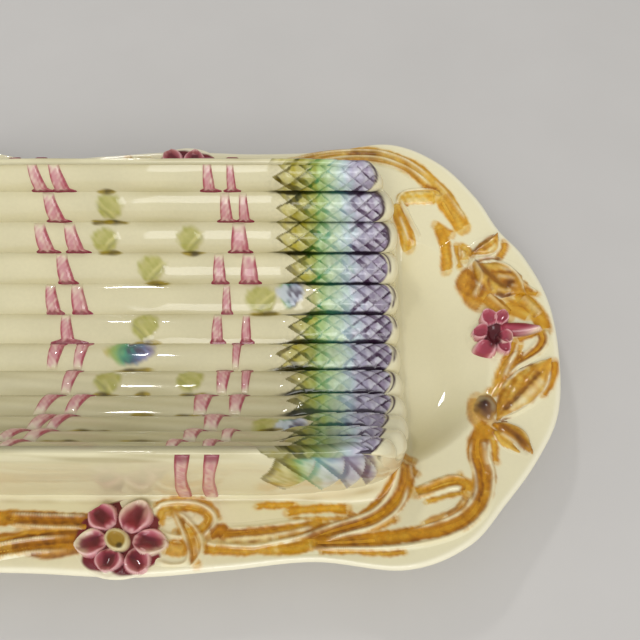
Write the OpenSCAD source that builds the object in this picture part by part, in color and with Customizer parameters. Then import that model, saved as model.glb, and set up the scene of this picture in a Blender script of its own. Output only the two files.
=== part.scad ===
// Asparagus platter in glazed earthenware: an oval dish with two sauce wells, a raised trough in the
// shape of a tied asparagus bundle, and a rim with applied vine, leaf and flower sprigs.
// X runs along the spears with their tips at +X, Y runs across them, and Z is up from the table.

/* [Bundle] */
// Length of the bundle from the cut ends to the tips
bundle_l = 244; // [200:1:300]
// Distance between neighbouring grooves, measured along the trough
spear_pitch = 16.1; // [14:0.1:19]
// Radius of the round bottom of the trough
trough_r = 74; // [66:1:90]
// Slope at which the round bottom turns into the straight sides
trough_turn = 56; // [45:1:62]
// Height of the lowest groove above the table
trough_z = 17.7; // [16:0.1:26]
// Thickness of a spear below its grooves
spear_t = 3; // [2:0.1:5]
// Rise of a spear stem above its grooves
stem_rise = 2; // [1:0.1:3]
// Rise of a spear head above its grooves
head_rise = 4.4; // [3:0.1:6]
// Length of the scaly heads
head_l = 66; // [50:1:80]
// Thickness of the outer spears on the two sides of the bundle
side_t = 3; // [2:0.1:5]
// Wall of the hollow cradle under the spears
cradle_wall = 3.6; // [3:0.1:7]

/* [Dish] */
// Width of the rim beside the bundle
side_rim = 36.5; // [32:0.5:60]
// Length of the sauce well at each end, from the bundle to the rim
end_well = 43; // [36:1:70]
// Width of the rim at each end
end_rim = 33; // [30:0.5:60]
// Height of the inner edge of the rim
rim_z = 21; // [18:0.5:30]
// Rise of the rim for each millimetre outwards
rim_slope = 0.25; // [0.1:0.01:0.4]
// Width of the cove that climbs from the well floor to the rim
cove_w = 26; // [20:0.5:32]
// Wall of the dish
dish_wall = 5.5; // [4.5:0.1:7]
// Depth of the seat that takes the cradle
seat_depth = 0.4; // [0.3:0.1:1]

/* [Foot ring] */
// Height of the foot ring
foot_h = 3.5; // [2.5:0.1:6]
// Width of the foot ring
foot_w = 6; // [4:0.5:10]

/* [Ties] */
// Distance of the tie near the heads from the middle of the bundle
tie_head_x = 35; // [25:1:45]
// Distance of the tie near the cut ends from the middle of the bundle
tie_butt_x = 50; // [40:1:70]
// Width of one raffia strand
strand_w = 8.4; // [5:0.1:10]
// Thickness of a raffia strand
strand_t = 0.9; // [0.5:0.1:1.5]
// Distance between two strands that cross the same spear
strand_gap = 13.4; // [11:0.1:16]

/* [Sprigs] */
// Width of the thick vine stems
vine_w = 7; // [5:0.1:9]
// Width of the thin twigs
twig_w = 4.6; // [3:0.1:6]
// Relief of the vine stems above the rim
vine_h = 2.6; // [1.5:0.1:4]
// Width of a long leaf
leaf_w = 19; // [14:0.5:22]
// Relief of a leaf above the rim
leaf_h = 3; // [1.5:0.1:4]
// Distance from the centre of a flower to its longest petal tips
flower_r = 21; // [16:0.5:23]
// Radius of the flower's centre disc
disc_r = 6.2; // [4:0.1:7]
// Relief of the petals above the rim
petal_h = 3; // [1.5:0.1:4]
// Diameter of the knob where the leaves meet
knob_d = 13; // [9:0.5:15]
// Relief of the trumpet bloom above the rim
bloom_h = 5; // [3:0.1:7]
// Distance from the middle of the bloom's mouth to the tips of its lobes
bloom_r = 11; // [8:0.5:13]

/* [Hidden] */

cream = "#ddd4ac";
stem_cream = "#d1c8a5";
amber = "#b98a3a";
rose = "#a8506a";
pale_rose = "#cf8f93";

// Clearance between pieces that sit against each other
joint = 0.2;
// Clearance between an applied sprig and the rim
slip = 0.3;
// Extra depth that lets a cut run clear through
over = 2;
// The bundle has six spears on each side of the middle groove
side_spears = 6;

// Length of the round bottom of the trough on each side of its middle
arc_l = trough_r*trough_turn*PI/180;

// Half length and half width of the bundle's footprint, an oval with nearly straight sides
bundle_hl = bundle_l/2;
crest = groove(side_spears);
roll_w = side_t + spear_t*0.5;
bundle_hw = crest[0] + roll_w;
bundle_power = 8;
// Half length and half width of the oval where the rim begins, and of the dish itself
well_hl = bundle_hl + end_well;
well_power = 2.8;
dish_hl = well_hl + end_rim;
dish_hw = bundle_hw + side_rim;
well_z = foot_h + dish_wall;
seat_z = well_z - seat_depth;

// Outline of one half of the dish, as shares of its half length and half width; the other half is
// the same line turned by 180 degrees
outline_shares = [
    [0, -1], [0.2, -0.975], [0.395, -0.945], [0.59, -0.98], [0.73, -0.895], [0.825, -0.73],
    [0.91, -0.555], [0.975, -0.36], [1, -0.105], [0.995, 0.17], [0.95, 0.395], [0.89, 0.545],
    [0.835, 0.715], [0.74, 0.895], [0.605, 1.005], [0.43, 0.985], [0.225, 0.985]
];
outline_steps = 3;

function lerp(a, b, t) = a + (b - a)*t;
function dir(t) = [cos(t), sin(t)];
function backwards(list) = [for (i = [len(list) - 1:-1:0]) list[i]];
function bearing(p) = atan2(p[1], p[0]);
function oval_r(t, a, b, n) = pow(pow(abs(cos(t))/a, n) + pow(abs(sin(t))/b, n), -1/n);
function well_r(t) = oval_r(t, well_hl, bundle_hw, well_power);
function bundle_r(t, grow = 0) = oval_r(t, bundle_hl + grow, bundle_hw + grow, bundle_power);

// Point at share t of the curve from b to c that also heeds its neighbours a and d
function curve(a, b, c, d, t) =
    (2*b + (c - a)*t + (2*a - 5*b + 4*c - d)*t*t + (3*b - a - 3*c + d)*t*t*t)/2;
// Smooth open path through a list of points
function path(pts, steps) = let(n = len(pts) - 1) [
    for (i = [0:n - 1], k = [0:steps - (i < n - 1 ? 1 : 0)])
        curve(i == 0 ? 2*pts[0] - pts[1] : pts[i - 1], pts[i], pts[i + 1],
              i == n - 1 ? 2*pts[n] - pts[n - 1] : pts[i + 2], k/steps)
];

half_outline = [for (s = outline_shares) [s[0]*dish_hl, s[1]*dish_hw]];
outline_posts = concat(half_outline, -half_outline);
outline = let(n = len(outline_posts)) [
    for (i = [0:n - 1], k = [0:outline_steps - 1])
        curve(outline_posts[(i + n - 1)%n], outline_posts[i], outline_posts[(i + 1)%n],
              outline_posts[(i + 2)%n], k/outline_steps)
];
// Radius of the outline at a bearing
rim_table = [for (p = outline) [bearing(p) < -90 ? bearing(p) + 360 : bearing(p), norm(p)]];
function rim_r(t) = lookup(t < -90 ? t + 360 : t, rim_table);

// Height of the dish's upper face: the rim rises outwards, and the cove falls inwards to the floor
function cove(t) = t*t*(3 - t)/2;
function top_z(p) = let(d = norm(p) - well_r(bearing(p)))
    d >= 0 ? rim_z + rim_slope*d : lerp(well_z, rim_z, cove(max(0, 1 + d/cove_w)));

// Height of the dish's lower face, which turns up steeply outside the cradle's seat
function under_z(p) = let(
    run = norm(p) - bundle_r(bearing(p)) - dish_wall/2,
    ramp = foot_h + max(0, run)*(rim_z - well_z)/dish_wall)
    max(foot_h, min(ramp, top_z(p) - dish_wall));

// Place on the rim from a bearing in degrees and a share across it, 0 inside and 1 at the outline
function place(s) = dir(s[0])*lerp(well_r(s[0]), rim_r(s[0]), s[1]);
function places(list) = [for (s = list) place(s)];
// Place between the bundle's footprint and the outline, in the same way
function outer_place(s) = dir(s[0])*lerp(bundle_r(s[0]), rim_r(s[0]), s[1]);
// Places beside the long leaf, clear of its widest edge, at shares of its length
function beside_leaf(shares) = let(
    leaf = places(leaf_long_shares), base = leaf[0], tip = leaf[len(leaf) - 1],
    ahead = (tip - base)/norm(tip - base), gap = (leaf_w + twig_w)/2 + slip)
    [for (s = shares) lerp(base, tip, s) + [-ahead[1], ahead[0]]*gap];

// Groove number k of the trough, counted from the middle, as a point across the bundle
function groove(k) = let(
    s = abs(k)*spear_pitch, side = k < 0 ? -1 : 1, rest = max(0, s - arc_l),
    turn = min(s, arc_l)/trough_r*180/PI)
    [side*(trough_r*sin(turn) + rest*cos(turn)),
     trough_z + trough_r*(1 - cos(turn)) + rest*sin(turn)];
// Slope of the spear between grooves k and k + 1
function spear_turn(k) = bearing(groove(k + 1) - groove(k));
// Lean of the mitre plane at groove k, which stands upright at the two crests
function mitre_turn(k) = abs(k) >= side_spears ? 0 : (spear_turn(k) + spear_turn(k - 1))/2;
// Point on the mitre plane of groove k, at height h above the neighbouring spear's groove line
function mitre(k, h) = let(lean = mitre_turn(k), beside = spear_turn(min(k, side_spears - 1)))
    groove(k) + h/cos(lean - beside)*[-sin(lean), cos(lean)];

// Half length of the bundle's footprint at distance y from its middle line
function reach(y) = bundle_hl*pow(1 - pow(min(abs(y)/bundle_hw, 0.999), bundle_power), 1/bundle_power);

// Places of the sprigs on the near and right rim, as bearing and share across the rim
flower_share = [-93.6, 0.52];
// Bearing and length of each petal, the length as a share of the longest
petal_shares = [[-8, 1], [66, 0.84], [130, 0.92], [188, 1], [250, 0.82], [309, 0.88]];
bow_loop_shares = [[-84.5, 0.2], [-80.5, 0.13], [-75, 0.12], [-70.8, 0.2], [-69.5, 0.35], [-72.4, 0.5]];
bow_tail_shares = [[-81.5, 0.4], [-78.6, 0.58], [-75.6, 0.74], [-77.5, 0.9]];
vine_shares = [
    [-70.5, 0.76], [-61.9, 0.74], [-54, 0.64], [-48.3, 0.52], [-43.2, 0.46], [-38.6, 0.42],
    [-34.7, 0.35], [-31.2, 0.27], [-28.2, 0.12]
];
vine_branch_shares = [[-68.5, 0.5], [-61.5, 0.49], [-54.6, 0.39], [-48.6, 0.26]];
trail_shares = [
    [-53, 0.88], [-47.6, 0.8], [-41.3, 0.75], [-36.3, 0.8], [-31.9, 0.84], [-28.4, 0.82],
    [-25.2, 0.72], [-22.6, 0.53], [-19.7, 0.34], [-17.2, 0.22]
];
fork_shares = [[-30.4, 0.56], [-28.3, 0.52], [-26.6, 0.42], [-28.6, 0.34], [-31, 0.36]];
far_vine_shares = [
    [72, 0.62], [66.4, 0.7], [58.7, 0.8], [50.8, 0.84], [43.7, 0.8], [38.7, 0.82], [34.9, 0.8],
    [30.9, 0.76], [27, 0.7], [22.6, 0.62], [20.8, 0.46]
];
far_branch_shares = [[73.5, 0.25], [63.2, 0.28], [55.7, 0.36], [50.6, 0.48]];
// The hook lies closer to the bundle, so its shares run from the bundle's footprint to the outline
hook_shares = [[32.5, 0.45], [34.4, 0.345], [34, 0.21], [31.6, 0.1], [28.2, 0.1], [24, 0.15]];
knob_share = [-13, 0.12];
leaf_long_shares = [[-11.8, 0.42], [-10, 0.52], [-7.4, 0.68], [-4.9, 0.86]];
leaf_short_shares = [[-15.6, 0.42], [-17.4, 0.64], [-19.4, 0.88]];
leaf_top_shares = [[15.6, 0.36], [12.6, 0.46], [10.2, 0.58], [7.9, 0.7]];
leaf_low_shares = [[13.6, 0.16], [11, 0.12], [8.4, 0.08]];
leaf_small_shares = [[17, 0.46], [17.9, 0.66], [18.8, 0.88]];
stem_inner_shares = [[7.4, 0.34], [5.8, 0.4], [4.2, 0.46]];
stem_outer_shares = [[6.8, 0.86], [5, 0.87], [3.2, 0.87]];
bloom_share = [1, 0.14];
bloom_tube_shares = [[1.2, 0.36], [1.4, 0.56], [1.3, 0.76]];
bloom_stem_shares = [[-0.6, 0.86], [-1.6, 0.85]];
// Shares of the long leaf's length at which the bloom's stem passes it, from its tip to its base
stem_leaf_shares = [0.85, 0.5, 0.2, 0];

// Cross-section of a sprig, as shares of its half width and its relief
sprig_shares = [[0, 0], [1, 0], [1, 0.4], [0.6, 0.85], [0, 1], [-0.6, 0.85], [-1, 0.4], [-1, 0]];
// Width and relief along a stem, a leaf and a petal, as shares of the full ones at even steps
stem_taper_shares = [[0, 0.6], [0.12, 1], [0.85, 0.95], [1, 0.45]];
leaf_taper_shares = [[0, 0.22], [0.3, 0.9], [0.5, 1], [0.75, 0.75], [1, 0.08]];
petal_taper_shares = [[0, 0.34], [0.35, 0.8], [0.7, 1], [0.9, 0.8], [1, 0.4]];

// Solid between rings of points, closed at both ends; ring points run clockwise seen from the start
module loft(rings) {
    m = len(rings[0]);
    n = len(rings);
    pts = concat([for (r = rings) each r]);
    sides = [
        for (i = [0:n - 2], j = [0:m - 1], half = [0, 1])
            let(a = i*m + j, b = i*m + (j + 1)%m, c = a + m, d = b + m)
            half == 0 ? [a, b, c] : [b, d, c]
    ];
    last = (n - 1)*m;
    caps = [
        for (j = [1:m - 2], end = [0, 1])
            end == 0 ? [0, j + 1, j] : [last, last + j, last + j + 1]
    ];
    polyhedron(pts, concat(sides, caps));
}

// Relief strip laid on the dish along a path, with its width and relief following a taper
module sprig(pts, width, relief, taper, steps = 3) {
    line = path(pts, steps);
    n = len(line) - 1;
    loft([
        for (i = [0:n])
            let(
                ahead = line[min(i + 1, n)] - line[max(i - 1, 0)],
                across = [-ahead[1], ahead[0]]/norm(ahead),
                full = lookup(i/n, taper))
            [for (s = sprig_shares)
                let(p = line[i] + across*s[0]*full*width/2)
                [p[0], p[1], top_z(p) + slip + s[1]*relief*(0.4 + 0.6*full)]]
    ]);
}

// The same sprig turned by half a turn, for the other half of the dish
module half_turn() {
    rotate([0, 0, 180]) children();
}

// Oval dish: radial rings of points over the seat, the wells and the rim, and back underneath
upper_ring_shares = [0, 0.06, 0.14, 0.22, 0.3, 0.38, 0.46, 0.54, 0.62, 0.72, 0.86, 1];
lower_ring_shares = [1, 0.8, 0.6, 0.45, 0.3, 0.15, 0];
module dish() {
    lip = dish_wall*0.25;
    rays = [for (p = outline) bearing(p)];
    n = len(rays);
    function ring(r, z) = [for (i = [0:n - 1]) let(q = dir(rays[i])*r[i]) [q[0], q[1], z[i]]];
    outer = [for (p = outline) norm(p)];
    seat = [for (t = rays) bundle_r(t, joint)];
    ramp_start = [for (t = rays) bundle_r(t) + dish_wall/2];
    edge_z = [for (i = [0:n - 1]) top_z(dir(rays[i])*outer[i])];
    rings = concat(
        [ring(seat*0.5, [for (t = rays) seat_z]), ring(seat, [for (t = rays) seat_z])],
        [for (s = upper_ring_shares)
            let(r = [for (i = [0:n - 1]) lerp(seat[i], outer[i] - lip, s)])
            ring(r, [for (i = [0:n - 1]) top_z(dir(rays[i])*r[i])])],
        [ring(outer, edge_z - [for (z = edge_z) dish_wall*0.3]),
         ring(outer, edge_z - [for (z = edge_z) dish_wall*0.6])],
        [for (s = lower_ring_shares)
            let(r = [for (i = [0:n - 1]) lerp(ramp_start[i] + dish_wall, outer[i] - 2*lip, s)])
            ring(r, [for (i = [0:n - 1]) under_z(dir(rays[i])*r[i])])],
        [ring(ramp_start, [for (t = rays) foot_h]), ring(ramp_start*0.5, [for (t = rays) foot_h])]
    );
    m = len(rings);
    pts = concat([for (r = rings) each r], [[0, 0, seat_z], [0, 0, foot_h]]);
    sides = [
        for (i = [0:m - 2], j = [0:n - 1], half = [0, 1])
            let(a = i*n + j, b = i*n + (j + 1)%n, c = a + n, d = b + n)
            half == 0 ? [a, b, c] : [b, d, c]
    ];
    hub = m*n;
    caps = [
        for (j = [0:n - 1], half = [0, 1])
            half == 0 ? [j, hub, (j + 1)%n] : [(m - 1)*n + j, (m - 1)*n + (j + 1)%n, hub + 1]
    ];
    color(cream) polyhedron(pts, concat(sides, caps));
}

// Oval ring under the flat of the dish, on which it stands
module foot_ring() {
    foot_hl = bundle_hl + end_well*0.15;
    foot_hw = bundle_hw*0.78;
    foot_power = 2.6;
    module oval(grow) {
        polygon([for (t = [0:5:355]) dir(t)*(oval_r(t, foot_hl, foot_hw, foot_power) + grow)]);
    }
    color(cream) difference() {
        linear_extrude(foot_h) oval(0);
        translate([0, 0, -over]) linear_extrude(foot_h + 2*over) oval(-foot_w);
    }
}

// Prism of the bundle's footprint, which bounds everything that stands in the seat
module footprint(grow = 0) {
    translate([0, 0, seat_z])
        linear_extrude(crest[1] + head_rise)
            polygon([for (t = [0:5:355]) dir(t)*bundle_r(t, grow)]);
}

// Bar along X over a cross-section that is drawn as points across the bundle
module along_x(length, section) {
    translate([-length/2, 0, 0]) rotate([90, 0, 90]) linear_extrude(length) polygon(section);
}

// Outer line of the bundle's side at distance inset from its face, from the seat up to the crest
roll_steps = 6;
function side_line(inset) = concat(
    [[bundle_hw - inset, seat_z]],
    [for (k = [0:roll_steps])
        let(t = 90*k/roll_steps, low = lerp(seat_z, crest[1], 0.5), peak = crest[1] + stem_rise/2)
        [bundle_hw - roll_w + (roll_w - inset)*cos(t), low + (peak - inset - low)*sin(t)]]
);

// Hollow cradle under the spears, open underneath and closed at both ends
module cradle_shell() {
    bed = [for (k = [-side_spears:side_spears]) mitre(k, -spear_t - joint)];
    side = side_line(side_t + joint);
    far_side = [for (p = side) if (p[1] < bed[0][1]) p];
    near_side = [for (p = far_side) [-p[0], p[1]]];
    first_hollow = 1;
    hollow = concat(
        [for (k = [first_hollow:side_spears]) mitre(k, -spear_t - joint - cradle_wall)],
        [[crest[0], seat_z - over], [mitre(first_hollow, -spear_t - cradle_wall)[0], seat_z - over]]
    );
    hollow_hw = bundle_hw - side_t - joint - cradle_wall;
    hollow_l = 2*(reach(hollow_hw) - cradle_wall);
    color(cream) difference() {
        intersection() {
            along_x(bundle_l + over, concat(near_side, bed, backwards(far_side)));
            footprint();
        }
        for (side_sign = [0, 1]) mirror([0, side_sign, 0]) intersection() {
            along_x(hollow_l, hollow);
            translate([-bundle_l, 0, 0])
                cube([2*bundle_l, hollow_hw, crest[1]]);
        }
    }
}

// Moves a piece drawn at the middle of a spear's groove line to spear k, with Z along its normal
module on_spear(k) {
    mid = (groove(k) + groove(k + 1))/2;
    translate([0, mid[0], mid[1]]) rotate([spear_turn(k), 0, 0]) children();
}

// Wedge between the two mitre lines of spear k, from depth low to height high
module spear_wedge(k, low, high, length) {
    side = dir(spear_turn(k))*joint/2;
    along_x(length, [
        mitre(k, low) + side, mitre(k + 1, low) - side,
        mitre(k + 1, high) - side, mitre(k, high) + side
    ]);
}

// Radius of the round top of a stem, from its rise over one pitch
stem_r = (pow(spear_pitch/2, 2) + pow(stem_rise, 2))/(2*stem_rise);
head_r = (pow(spear_pitch/2, 2) + pow(head_rise, 2))/(2*head_rise);
// Outline of a head, as shares of its length and of its rise
head_shares = [
    [0, 0.45], [0.15, 0.72], [0.35, 0.94], [0.55, 1], [0.75, 0.98], [0.88, 0.85], [0.96, 0.5], [1, -0.3]
];

// One spear: a round-topped stem that swells into a scaly head, and ends flat at the cut end
module spear(k) {
    mid_y = (groove(k)[0] + groove(k + 1)[0])/2;
    tip_x = reach(mid_y) - joint;
    butt_x = joint - reach(mid_y);
    neck_x = tip_x - head_l;
    head_axis = head_rise - head_r;
    color(stem_cream) intersection() {
        union() {
            on_spear(k) translate([butt_x, 0, stem_rise - stem_r]) rotate([0, 90, 0])
                cylinder(r = stem_r, h = neck_x - butt_x + head_l*0.25, $fn = 96);
            on_spear(k) translate([neck_x, 0, head_axis]) rotate([0, 90, 0])
                rotate_extrude($fn = 64) polygon(concat(
                    [[0, 0]],
                    [for (s = head_shares) [s[1]*head_rise - head_axis, s[0]*head_l]],
                    [[0, head_l]]));
        }
        spear_wedge(k, -spear_t, head_rise + over, 2*bundle_l);
    }
}

// The outer spear on one side of the bundle, rolled over the crest and standing in the seat
module side_spear() {
    outer = side_line(0);
    inner = side_line(side_t);
    color(stem_cream) intersection() {
        along_x(bundle_l, concat(outer, backwards(inner)));
        footprint();
        translate([-bundle_l, crest[0] + joint, 0]) cube([2*bundle_l, bundle_hw, 2*crest[1]]);
    }
}

// One raffia strand over spear k at distance x along the bundle
module strand(k, x, lean) {
    intersection() {
        on_spear(k) translate([-bundle_l, 0, stem_rise - stem_r]) rotate([0, 90, 0])
            difference() {
                cylinder(r = stem_r + joint + strand_t, h = 2*bundle_l, $fn = 96);
                translate([0, 0, -over]) cylinder(r = stem_r + joint, h = 2*(bundle_l + over), $fn = 96);
            }
        spear_wedge(k, -spear_t/2, head_rise, 2*bundle_l);
        on_spear(k) translate([x, 0, 0]) rotate([0, 0, lean])
            cube([strand_w, 2*spear_pitch, 4*head_rise], center = true);
    }
}

// Strand down the outer side of the bundle
module side_strand(x) {
    outer = side_line(-joint - strand_t);
    inner = side_line(-joint);
    intersection() {
        along_x(bundle_l, concat(outer, backwards(inner)));
        translate([x - strand_w/2, crest[0], rim_z + leaf_h]) cube([strand_w, bundle_hw, crest[1]]);
    }
}

// Number of strands on each spear, from the far side to the near side
head_tie_counts = [2, 2, 1, 2, 1, 2, 1, 2, 2, 1, 2, 1];
butt_tie_counts = [2, 1, 2, 1, 2, 1, 2, 1, 2, 1, 2, 1];
// Lean of the strands from straight across, in degrees
head_tie_lean = 4;
butt_tie_lean = -8;
// Shift of a tie along the bundle from its middle to its near end, as a share of half the bundle's width
head_drift_share = -0.04;
butt_drift_share = 0.06;
module tie(x, counts, lean, drift_share) {
    drift = drift_share*bundle_hw;
    color(pale_rose) {
        for (i = [0:2*side_spears - 1], j = [0:counts[i] - 1])
            strand(side_spears - 1 - i,
                   x + drift*((i + 0.5)/side_spears - 1) + (counts[i] == 2 ? (j - 0.5)*strand_gap : 0), lean);
        for (side_sign = [0, 1], j = [-0.5, 0.5])
            mirror([0, side_sign, 0]) side_strand(x + drift*(2*side_sign - 1) + j*strand_gap);
    }
}

// Six-petalled flower with a raised disc
module flower() {
    centre = place(flower_share);
    root_r = disc_r + joint*2;
    color(rose) for (p = petal_shares)
        sprig([for (s = [0, 0.5, 1]) centre + dir(p[0])*lerp(root_r, flower_r*p[1], s)],
              flower_r*0.52, petal_h, petal_taper_shares, 4);
    color(cream) knob_at(centre, disc_r, petal_h*1.2);
}

// Round boss on the rim: rings that close towards the top
module knob_at(centre, r, relief) {
    base = [for (t = [0:20:340]) centre + dir(t)*r];
    rise_shares = [[1, 0], [1, 0.45], [0.82, 0.78], [0.5, 0.96], [0.12, 1]];
    loft([
        for (s = rise_shares)
            [for (p = base) let(q = lerp(centre, p, s[0])) [q[0], q[1], top_z(q) + slip + s[1]*relief]]
    ]);
}

module bow() {
    color(amber) {
        sprig(places(bow_loop_shares), twig_w, vine_h, stem_taper_shares);
        sprig(places(bow_tail_shares), twig_w, vine_h, stem_taper_shares);
    }
}

module vine() {
    color(amber) {
        sprig(places(vine_shares), vine_w, vine_h, stem_taper_shares);
        sprig(places(vine_branch_shares), twig_w, vine_h, stem_taper_shares);
    }
}

module trail() {
    color(amber) sprig(places(trail_shares), vine_w, vine_h, stem_taper_shares);
}

module fork() {
    color(amber) sprig(places(fork_shares), twig_w, vine_h, stem_taper_shares);
}

module far_vine() {
    color(amber) sprig(places(far_vine_shares), vine_w*1.15, vine_h, stem_taper_shares);
}

module far_branch() {
    color(amber) sprig(places(far_branch_shares), twig_w, vine_h, stem_taper_shares);
}

module hook() {
    color(amber) sprig([for (s = hook_shares) outer_place(s)], vine_w*0.85, vine_h, stem_taper_shares);
}

module low_leaves() {
    color(amber) {
        sprig(places(leaf_long_shares), leaf_w, leaf_h, leaf_taper_shares);
        sprig(places(leaf_short_shares), leaf_w*0.66, leaf_h, leaf_taper_shares);
    }
}

module knob() {
    color(amber) knob_at(place(knob_share), knob_d/2, leaf_h*1.3);
}

module top_leaves() {
    color(amber) {
        sprig(places(leaf_top_shares), leaf_w*0.8, leaf_h, leaf_taper_shares);
        sprig(places(leaf_low_shares), leaf_w*0.42, leaf_h, leaf_taper_shares);
        sprig(places(leaf_small_shares), leaf_w*0.4, leaf_h, leaf_taper_shares);
    }
}

module top_stems() {
    color(amber) {
        sprig(places(stem_inner_shares), twig_w, vine_h, stem_taper_shares);
        sprig(places(stem_outer_shares), twig_w, vine_h, stem_taper_shares);
    }
}

// Trumpet bloom: five lobes round a mouth, and a tube towards the edge of the dish
module bloom() {
    centre = place(bloom_share);
    mouth_r = bloom_r*0.3;
    color(rose) {
        for (t = [60, 120, 190, 250, 305])
            sprig([for (r = [mouth_r, bloom_r*0.6, bloom_r]) centre + dir(t)*r],
                  bloom_r*0.74, bloom_h*0.6, petal_taper_shares);
        sprig(places(bloom_tube_shares), bloom_r*0.76, bloom_h, stem_taper_shares);
    }
}

module bloom_stem() {
    line = concat(places(bloom_stem_shares), beside_leaf(stem_leaf_shares));
    color(amber) sprig(line, twig_w, vine_h, stem_taper_shares);
}

dish();
foot_ring();
cradle_shell();
spear(5);  // spear_01
spear(4);  // spear_02
spear(3);  // spear_03
spear(2);  // spear_04
spear(1);  // spear_05
spear(0);  // spear_06
spear(-1);  // spear_07
spear(-2);  // spear_08
spear(-3);  // spear_09
spear(-4);  // spear_10
spear(-5);  // spear_11
spear(-6);  // spear_12
mirror([0, 1, 0]) side_spear();  // side_spear_near
side_spear();  // side_spear_far
tie(tie_head_x, head_tie_counts, head_tie_lean, head_drift_share);  // tie_heads
tie(-tie_butt_x, butt_tie_counts, butt_tie_lean, butt_drift_share);  // tie_butts
flower();  // flower_near
half_turn() flower();  // flower_far
bow();  // bow_near
half_turn() bow();  // bow_far
vine();  // vine_near_right
half_turn() vine();  // vine_far_left
trail();  // trail_near_right
half_turn() trail();  // trail_far_left
fork();  // fork_near_right
half_turn() fork();  // fork_far_left
far_vine();  // vine_far_right
half_turn() far_vine();  // vine_near_left
far_branch();  // branch_far_right
half_turn() far_branch();  // branch_near_left
hook();  // hook_far_right
half_turn() hook();  // hook_near_left
low_leaves();  // leaves_low_right
half_turn() low_leaves();  // leaves_low_left
knob();  // knob_right
half_turn() knob();  // knob_left
top_leaves();  // leaves_top_right
half_turn() top_leaves();  // leaves_top_left
top_stems();  // stems_top_right
half_turn() top_stems();  // stems_top_left
bloom();  // bloom_right
half_turn() bloom();  // bloom_left
bloom_stem();  // bloom_stem_right
half_turn() bloom_stem();  // bloom_stem_left
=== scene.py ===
from math import cos, pi, radians, sin

import bpy
import numpy as np
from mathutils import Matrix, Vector


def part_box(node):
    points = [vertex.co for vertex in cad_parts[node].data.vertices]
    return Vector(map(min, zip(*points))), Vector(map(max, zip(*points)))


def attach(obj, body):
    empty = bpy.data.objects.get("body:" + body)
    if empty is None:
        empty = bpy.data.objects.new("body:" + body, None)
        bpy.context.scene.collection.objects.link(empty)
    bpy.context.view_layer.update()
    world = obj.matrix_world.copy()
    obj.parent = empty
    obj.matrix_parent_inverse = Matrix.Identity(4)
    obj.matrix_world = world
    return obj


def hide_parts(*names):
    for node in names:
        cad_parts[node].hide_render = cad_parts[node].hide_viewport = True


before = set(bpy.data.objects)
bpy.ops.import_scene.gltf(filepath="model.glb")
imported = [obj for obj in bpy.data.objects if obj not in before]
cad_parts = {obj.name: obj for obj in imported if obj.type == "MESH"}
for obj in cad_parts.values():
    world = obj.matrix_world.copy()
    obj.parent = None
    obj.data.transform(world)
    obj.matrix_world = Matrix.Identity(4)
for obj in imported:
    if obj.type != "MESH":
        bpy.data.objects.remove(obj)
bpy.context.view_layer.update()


# Room: the camera stands above the near side of the dish and looks down at its right-hand end. A broad
# soft lamp in front and a smaller, weaker one behind on the left light the object, on a matt and pale
# table top. Nothing in this section is part of the object.
mm = 0.001


def linear(shade):
    """sRGB hex to linear light: below 0.04045 a straight line, above it the 2.4 power curve."""
    c = np.array([int(shade[i:i + 2], 16) for i in (1, 3, 5)])/255
    return np.where(c <= 0.04045, c/12.92, ((c + 0.055)/1.055)**2.4)


def add(tree, kind, sockets=None, **settings):
    """Adds a node with its settings, and fills its sockets with values or with links from other nodes."""
    made = tree.nodes.new(kind)
    for key, value in settings.items():
        setattr(made, key, value)
    for key, value in (sockets or {}).items():
        if isinstance(value, bpy.types.NodeSocket):
            tree.links.new(value, made.inputs[key])
        else:
            made.inputs[key].default_value = value
    return made


def new_material(name):
    """Empty node material and its node tree."""
    made = bpy.data.materials.new(name)
    made.use_nodes = True
    made.node_tree.nodes.clear()
    return made, made.node_tree


scene = bpy.context.scene
scene.view_settings.view_transform = "Standard"
picture_px, focal_px, sensor_w = 640, 760, 36
camera = bpy.data.objects.new("camera", bpy.data.cameras.new("camera"))
camera.data.sensor_width = sensor_w
camera.data.lens = sensor_w*focal_px/picture_px
camera.location = (0.0805, -0.1704, 0.3652)
camera.rotation_euler = (radians(27.9), 0, 0)
scene.collection.objects.link(camera)
scene.camera = camera


def lamp(name, place, aim, size, watts):
    """Square soft lamp at a place, turned towards a point."""
    data = bpy.data.lights.new(name, "AREA")
    data.size, data.energy = size, watts
    made = bpy.data.objects.new(name, data)
    made.location = place
    made.rotation_euler = (Vector(aim) - Vector(place)).to_track_quat("-Z", "Y").to_euler()
    scene.collection.objects.link(made)


lamp("front_lamp", (0.0, -0.8, 1.0), (0.05, 0, 0), 0.6, 5.1)
lamp("back_lamp", (-0.35, 0.85, 1.15), (0.05, 0, 0), 0.11, 2.4)
# Plain white surroundings, which are brighter in front of the object than behind it
front_light, behind_light = 1.01, 0.29
world = bpy.data.worlds.new("room")
world.use_nodes = True
tree = world.node_tree
tree.nodes["Background"].inputs["Color"].default_value = (1, 1, 1, 1)
heading = add(tree, "ShaderNodeSeparateXYZ", {0: add(tree, "ShaderNodeTexCoord").outputs["Generated"]})
glow = add(tree, "ShaderNodeMapRange", {
    0: heading.outputs["Y"], 1: -1.0, 2: 1.0, 3: front_light, 4: behind_light})
tree.links.new(glow.outputs[0], tree.nodes["Background"].inputs["Strength"])
scene.world = world

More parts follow.
